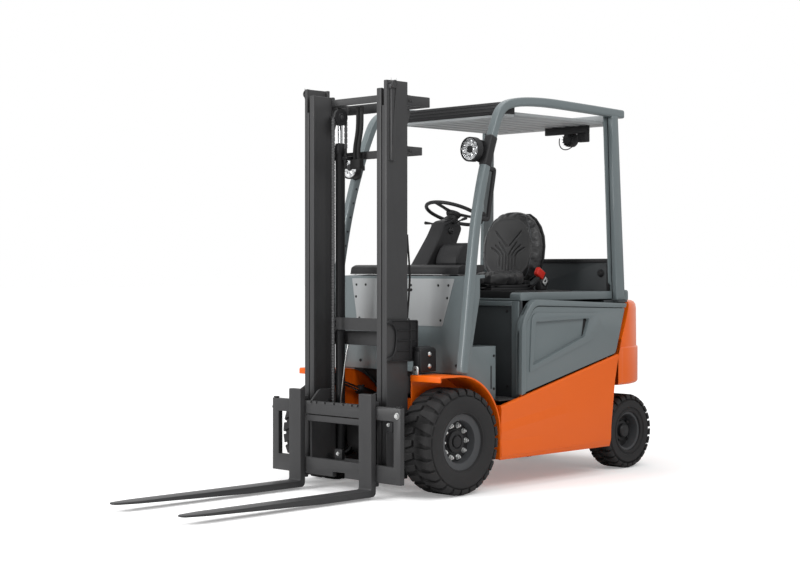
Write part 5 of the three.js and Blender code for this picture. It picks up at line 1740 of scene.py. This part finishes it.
LIFT_X, LIFT_Y = 0.25, -0.14
for side, sign in (("left", 1), ("right", -1)):
    middle = (sign * LIFT_X, LIFT_Y, 0)
    barrel = turned(
        f"lift_ram_{side}",
        [
            (0, 0.123), (0.028, 0.123), (0.03, 0.126), (0.03, 0.166), (0.0278, 0.169), (0.0278, 1.885),
            (0.03, 1.888), (0.0315, 1.891), (0.0315, 1.933), (0.029, 1.938), (0.029, 1.944), (0.024, 1.949),
            (0.0185, 1.9495), (0.017, 1.944), (0.0165, 1.9), (0, 1.899),
        ],
        middle, 40, (0, 0, 1),
    )
    wiper = turned(
        "wiper", [(0.0148, 1.94), (0.018, 1.94), (0.0175, 1.948), (0.015, 1.949)], middle, 32, (0, 0, 1)
    )
    elbow = hose(
        "ram_elbow",
        [
            (sign * (LIFT_X - 0.024), LIFT_Y, 0.185), (sign * (LIFT_X - 0.046), LIFT_Y, 0.185),
            (sign * (LIFT_X - 0.056), LIFT_Y + 0.01, 0.19), (sign * (LIFT_X - 0.06), LIFT_Y + 0.03, 0.22),
        ],
        0.008,
    )
    fitted(
        joined(f"lift_ram_{side}", [smoothed(barrel, 40), smoothed(wiper), elbow]), satin_black,
        "outer_mast", "mast_black", f"lift_cylinder_{side}",
    )
    ram_rod = turned(
        f"lift_chrome_{side}",
        [(0, 0.1835), (0.0125, 0.1835), (0.014, 0.186), (0.014, 2.14), (0.012, 2.149), (0, 2.1495)], middle,
        40, (0, 0, 1),
    )
    fitted(smoothed(ram_rod, 40), chrome, "inner_mast", "bright_rod", f"lift_rod_{side}")

inner = softened("inner_mast", "inner_mast_frame", 0.003, 3)
fitted(inner, mast_black, "inner_mast", "mast_black", "inner_mast")
face = turned(
    "sheave_flange",
    [
        (0.0, -0.0165), (0.02, -0.0165), (0.024, -0.0125), (0.04, -0.012), (0.0475, -0.0118),
        (0.0475, -0.0095), (0.0445, -0.009), (0.0445, 0.009), (0.0475, 0.0095), (0.0475, 0.0118),
        (0.04, 0.012), (0.024, 0.0125), (0.02, 0.0165), (0.0, 0.0165),
    ],
    (0.185, -0.2, 2.09), 48,
)
parts = [smoothed(face, 40), bar("head_pin", (LIFT_X, LIFT_Y, 2.1875), (LIFT_X, LIFT_Y, 2.1975), 0.01, 6)]
for z in (0.912, 0.932):
    parts.append(bolt("inner_bolt", (0.238, MAST_REAR - 0.016, z), (0, -1, 0), 0.007))
parts = joined("inner_trims", parts)
fitted(
    joined("inner_trims", [copied(parts, "inner_trims_right", LEFT_RIGHT), parts]), satin_black,
    "inner_mast", "mast_black",
)

# ---- Chains ----
# Leaf chains: stacks of waisted link plates on pins, in two straight runs a side that end at the sheave:
# one rising from the anchor, and one from the carriage.

PITCH = 0.0159
LINK_LINE = [
    (0.0052, -PITCH / 2), (0.0036, 0.0), (0.0052, PITCH / 2), (0.0036, PITCH / 2 + 0.0037),
    (0.0, PITCH / 2 + 0.0052), (-0.0036, PITCH / 2 + 0.0037), (-0.0052, PITCH / 2), (-0.0036, 0.0),
    (-0.0052, -PITCH / 2), (-0.0036, -PITCH / 2 - 0.0037), (0.0, -PITCH / 2 - 0.0052),
    (0.0036, -PITCH / 2 - 0.0037),
]


def stepped(piece, count, rise):
    """The piece again and again, each a step higher."""
    return applied(
        piece, "ARRAY", count=count, use_relative_offset=False, use_constant_offset=True,
        constant_offset_displace=(0, 0, rise),
    )


def leaf_chain(name, x, y, low, high):
    """A straight run of chain between two heights."""
    count = int((high - low - 0.011) / PITCH)
    start = high - 0.0055 - count * PITCH
    links = []
    for even in (0, 1):
        rows = ((-0.0062, -0.0038), (-0.0012, 0.0012), (0.0038, 0.0062)) if even else (
            (-0.0088, -0.0064), (-0.0037, -0.0013), (0.0013, 0.0037), (0.0064, 0.0088),
        )
        leaf = [plate("leaf", LINK_LINE, "X", x0, x1) for x0, x1 in rows]
        leaf = joined("leaf", leaf)
        leaf.data.transform(Matrix.Translation((x, y, start + PITCH * (0.5 + even))))
        links.append(stepped(leaf, (count - even + 1) // 2, PITCH * 2))
    pin = bar("chain_pin", (x - 0.0092, y, start), (x + 0.0092, y, start), 0.003, 10)
    return joined(name, links), stepped(pin, count + 1, PITCH)


for side, sign in (("left", 1), ("right", -1)):
    run, pins = leaf_chain(f"chain_run_{side}", sign * 0.185, -0.2518, 0.441, 2.089)
    fitted(run, oiled_steel, "carriage", "chain_steel", f"chain_{side}")
    pins.name = pins.data.name = f"chain_pins_{side}"
    fitted(pins, rubber_black, "carriage", "chain_steel")
    for piece in (run, pins):
        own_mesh(piece)
    tail, pins = leaf_chain(f"chain_tail_{side}", sign * 0.185, -0.156, 1.91, 2.085)
    fitted(joined(f"chain_tail_{side}", [tail, pins]), oiled_steel, "outer_mast", "chain_steel")

# ---- Carriage ----
# Two rolled bars with machined hooks and notches, on end posts, with side cheeks whose rollers run in the
# inner mast.

notches = [
    block("notch", (x - 0.007, -0.42, 0.484), (x + 0.007, -0.392, 0.5))
    for x in (-0.19, -0.145, -0.075, 0.0, 0.075, 0.145, 0.19)
]
notches.append(block("gap", (-0.011, -0.42, 0.085), (0.087, -0.38, 0.118)))
carriage = softened("carriage", "carriage_frame", 0.0028, 2, joined("notches", notches))
fitted(carriage, mast_black, "carriage", "mast_black", "carriage")
lip = eased(block("bar_lip", (-0.236, -0.414, 0.385), (0.236, -0.39, 0.4195)), 0.004, 3)
fitted(lip, mast_black, "carriage", "mast_black")
parts, bright = [], []
for sign in (-1, 1):
    for z in (0.165, 0.477):
        cap = turned(
            "roller_cap", [(0, 0), (0.024, 0), (0.026, 0.003), (0.022, 0.006), (0.01, 0.0065), (0, 0.0065)],
            (sign * 0.214, -0.256, z), 32, (-sign, 0, 0),
        )
        parts.append(smoothed(cap, 40))
    for z in (0.418, 0.405):
        parts.append(
            bar("chain_stud", (sign * 0.185, -0.25, z), (sign * 0.185, -0.25, z + 0.02), 0.0085, 6)
        )
    parts.append(
        eased(
            block("end_stop", (sign * 0.5 - 0.014, -0.415, 0.4975), (sign * 0.5 + 0.014, -0.392, 0.506)),
            0.003,
        )
    )
bright.append(bolt("end_bolt", (0.496, -0.4163, 0.456), (0, -1, 0), 0.0135))
bright.append(bolt("bar_bolt", (0.0, -0.3858, 0.215), (0, -1, 0), 0.0085))
bright.append(bolt("post_bolt", (0.399, -0.3858, 0.401), (0, -1, 0), 0.0085))
parts.append(bar("end_boss", (-0.508, -0.401, 0.445), (-0.5265, -0.401, 0.445), 0.013, 24))
parts.append(eased(block("bolt_pad", (-0.03, -0.385, 0.182), (0.03, -0.36, 0.24)), 0.004))
parts.append(eased(block("bolt_pad", (0.38, -0.385, 0.36), (0.425, -0.36, 0.4245)), 0.004))
fitted(joined("carriage_trims", parts), satin_black, "carriage", "mast_black")
fitted(joined("carriage_bolts", bright), zinc, "carriage", "bright_rod")

# ---- Forks ----
# Forged arms hung on the bars, each held in its notch by a spring pin in the top hook.

fork_steel = finish("fork_paint", (0.03, 0.03, 0.031), (0.042, 0.042, 0.043), (0.36, 0.5), 4, 420, 0.12)
for side, sign in (("left", 1), ("right", -1)):
    arm = softened(f"fork_{side}", f"fork_arm_{side}", 0.0035, 3)
    fitted(arm, fork_steel, "carriage", "mast_black", f"fork_{side}")
    x = sign * 0.2865
    pin = turned(
        "fork_pin",
        [
            (0, 0), (0.012, 0), (0.0125, 0.003), (0.0085, 0.006), (0.0075, 0.011), (0.011, 0.013),
            (0.0105, 0.016), (0, 0.0165),
        ],
        (x, -0.404, 0.5212), 28, (0, 0, 1),
    )
    lever = eased(block("pin_lever", (x - 0.022, -0.4085, 0.5335), (x + 0.004, -0.3995, 0.5375)), 0.0015)
    fitted(joined(f"fork_pin_{side}", [smoothed(pin, 40), lever]), zinc, "carriage", "bright_rod")

# ---- Tilt cylinders ----
# One ram on each side between the frame and the mast, with a gland ring, two ports and a chromed rod
# whose eye takes the mast's pin.

TILT_FROM, TILT_TO = Vector((0.31, 0.42, 0.4)), Vector((0.31, -0.135, 0.6))
TILT_AIM = (TILT_TO - TILT_FROM).normalized()
TILT_LENGTH = (TILT_TO - TILT_FROM).length
for side, sign in (("left", 1), ("right", -1)):
    mouth = TILT_LENGTH * 0.66
    barrel = turned(
        f"tilt_body_{side}",
        [
            (0, 0.02), (0.026, 0.02), (0.0275, 0.023), (0.0275, 0.048), (0.0262, 0.05),
            (0.0262, mouth - 0.05), (0.0278, mouth - 0.047), (0.0278, mouth - 0.008),
            (0.0245, mouth - 0.001), (0.0165, mouth - 0.0005), (0.016, mouth - 0.004),
            (0.016, mouth - 0.06), (0, mouth - 0.061),
        ],
        TILT_FROM, 40, TILT_AIM,
    )
    eye = turned(
        "tilt_eye",
        [(0, -0.014), (0.0235, -0.014), (0.0258, -0.0115), (0.0258, 0.0115), (0.0235, 0.014), (0, 0.014)],
        TILT_FROM, 32,
    )
    pin = turned(
        "tilt_pin",
        [(0, -0.0395), (0.01, -0.0395), (0.0108, -0.0385), (0.0108, 0.0385), (0.01, 0.0395), (0, 0.0395)],
        TILT_FROM, 24,
    )
    ports = []
    for along in (0.07, mouth - 0.035):
        root = TILT_FROM + TILT_AIM * along
        up = TILT_AIM.cross(Vector((1, 0, 0))).normalized()
        if up.z < 0:
            up = -up
        ports.append(bar("tilt_port", root + up * 0.022, root + up * 0.0355, 0.0085, 6))
    whole = joined(
        f"tilt_body_{side}", [smoothed(barrel, 40), smoothed(eye, 40), smoothed(pin, 40), *ports],
    )
    if sign < 0:
        whole.data.transform(LEFT_RIGHT)
        whole.data.flip_normals()
    fitted(whole, satin_black, f"tilt_barrel_{side}", "mast_black", f"tilt_barrel_{side}")
    stem = softened(f"tilt_rod_{side}", f"tilt_chrome_{side}", 0.0)
    fitted(smoothed(stem, 40), chrome, f"tilt_rod_{side}", "bright_rod", f"tilt_rod_{side}")
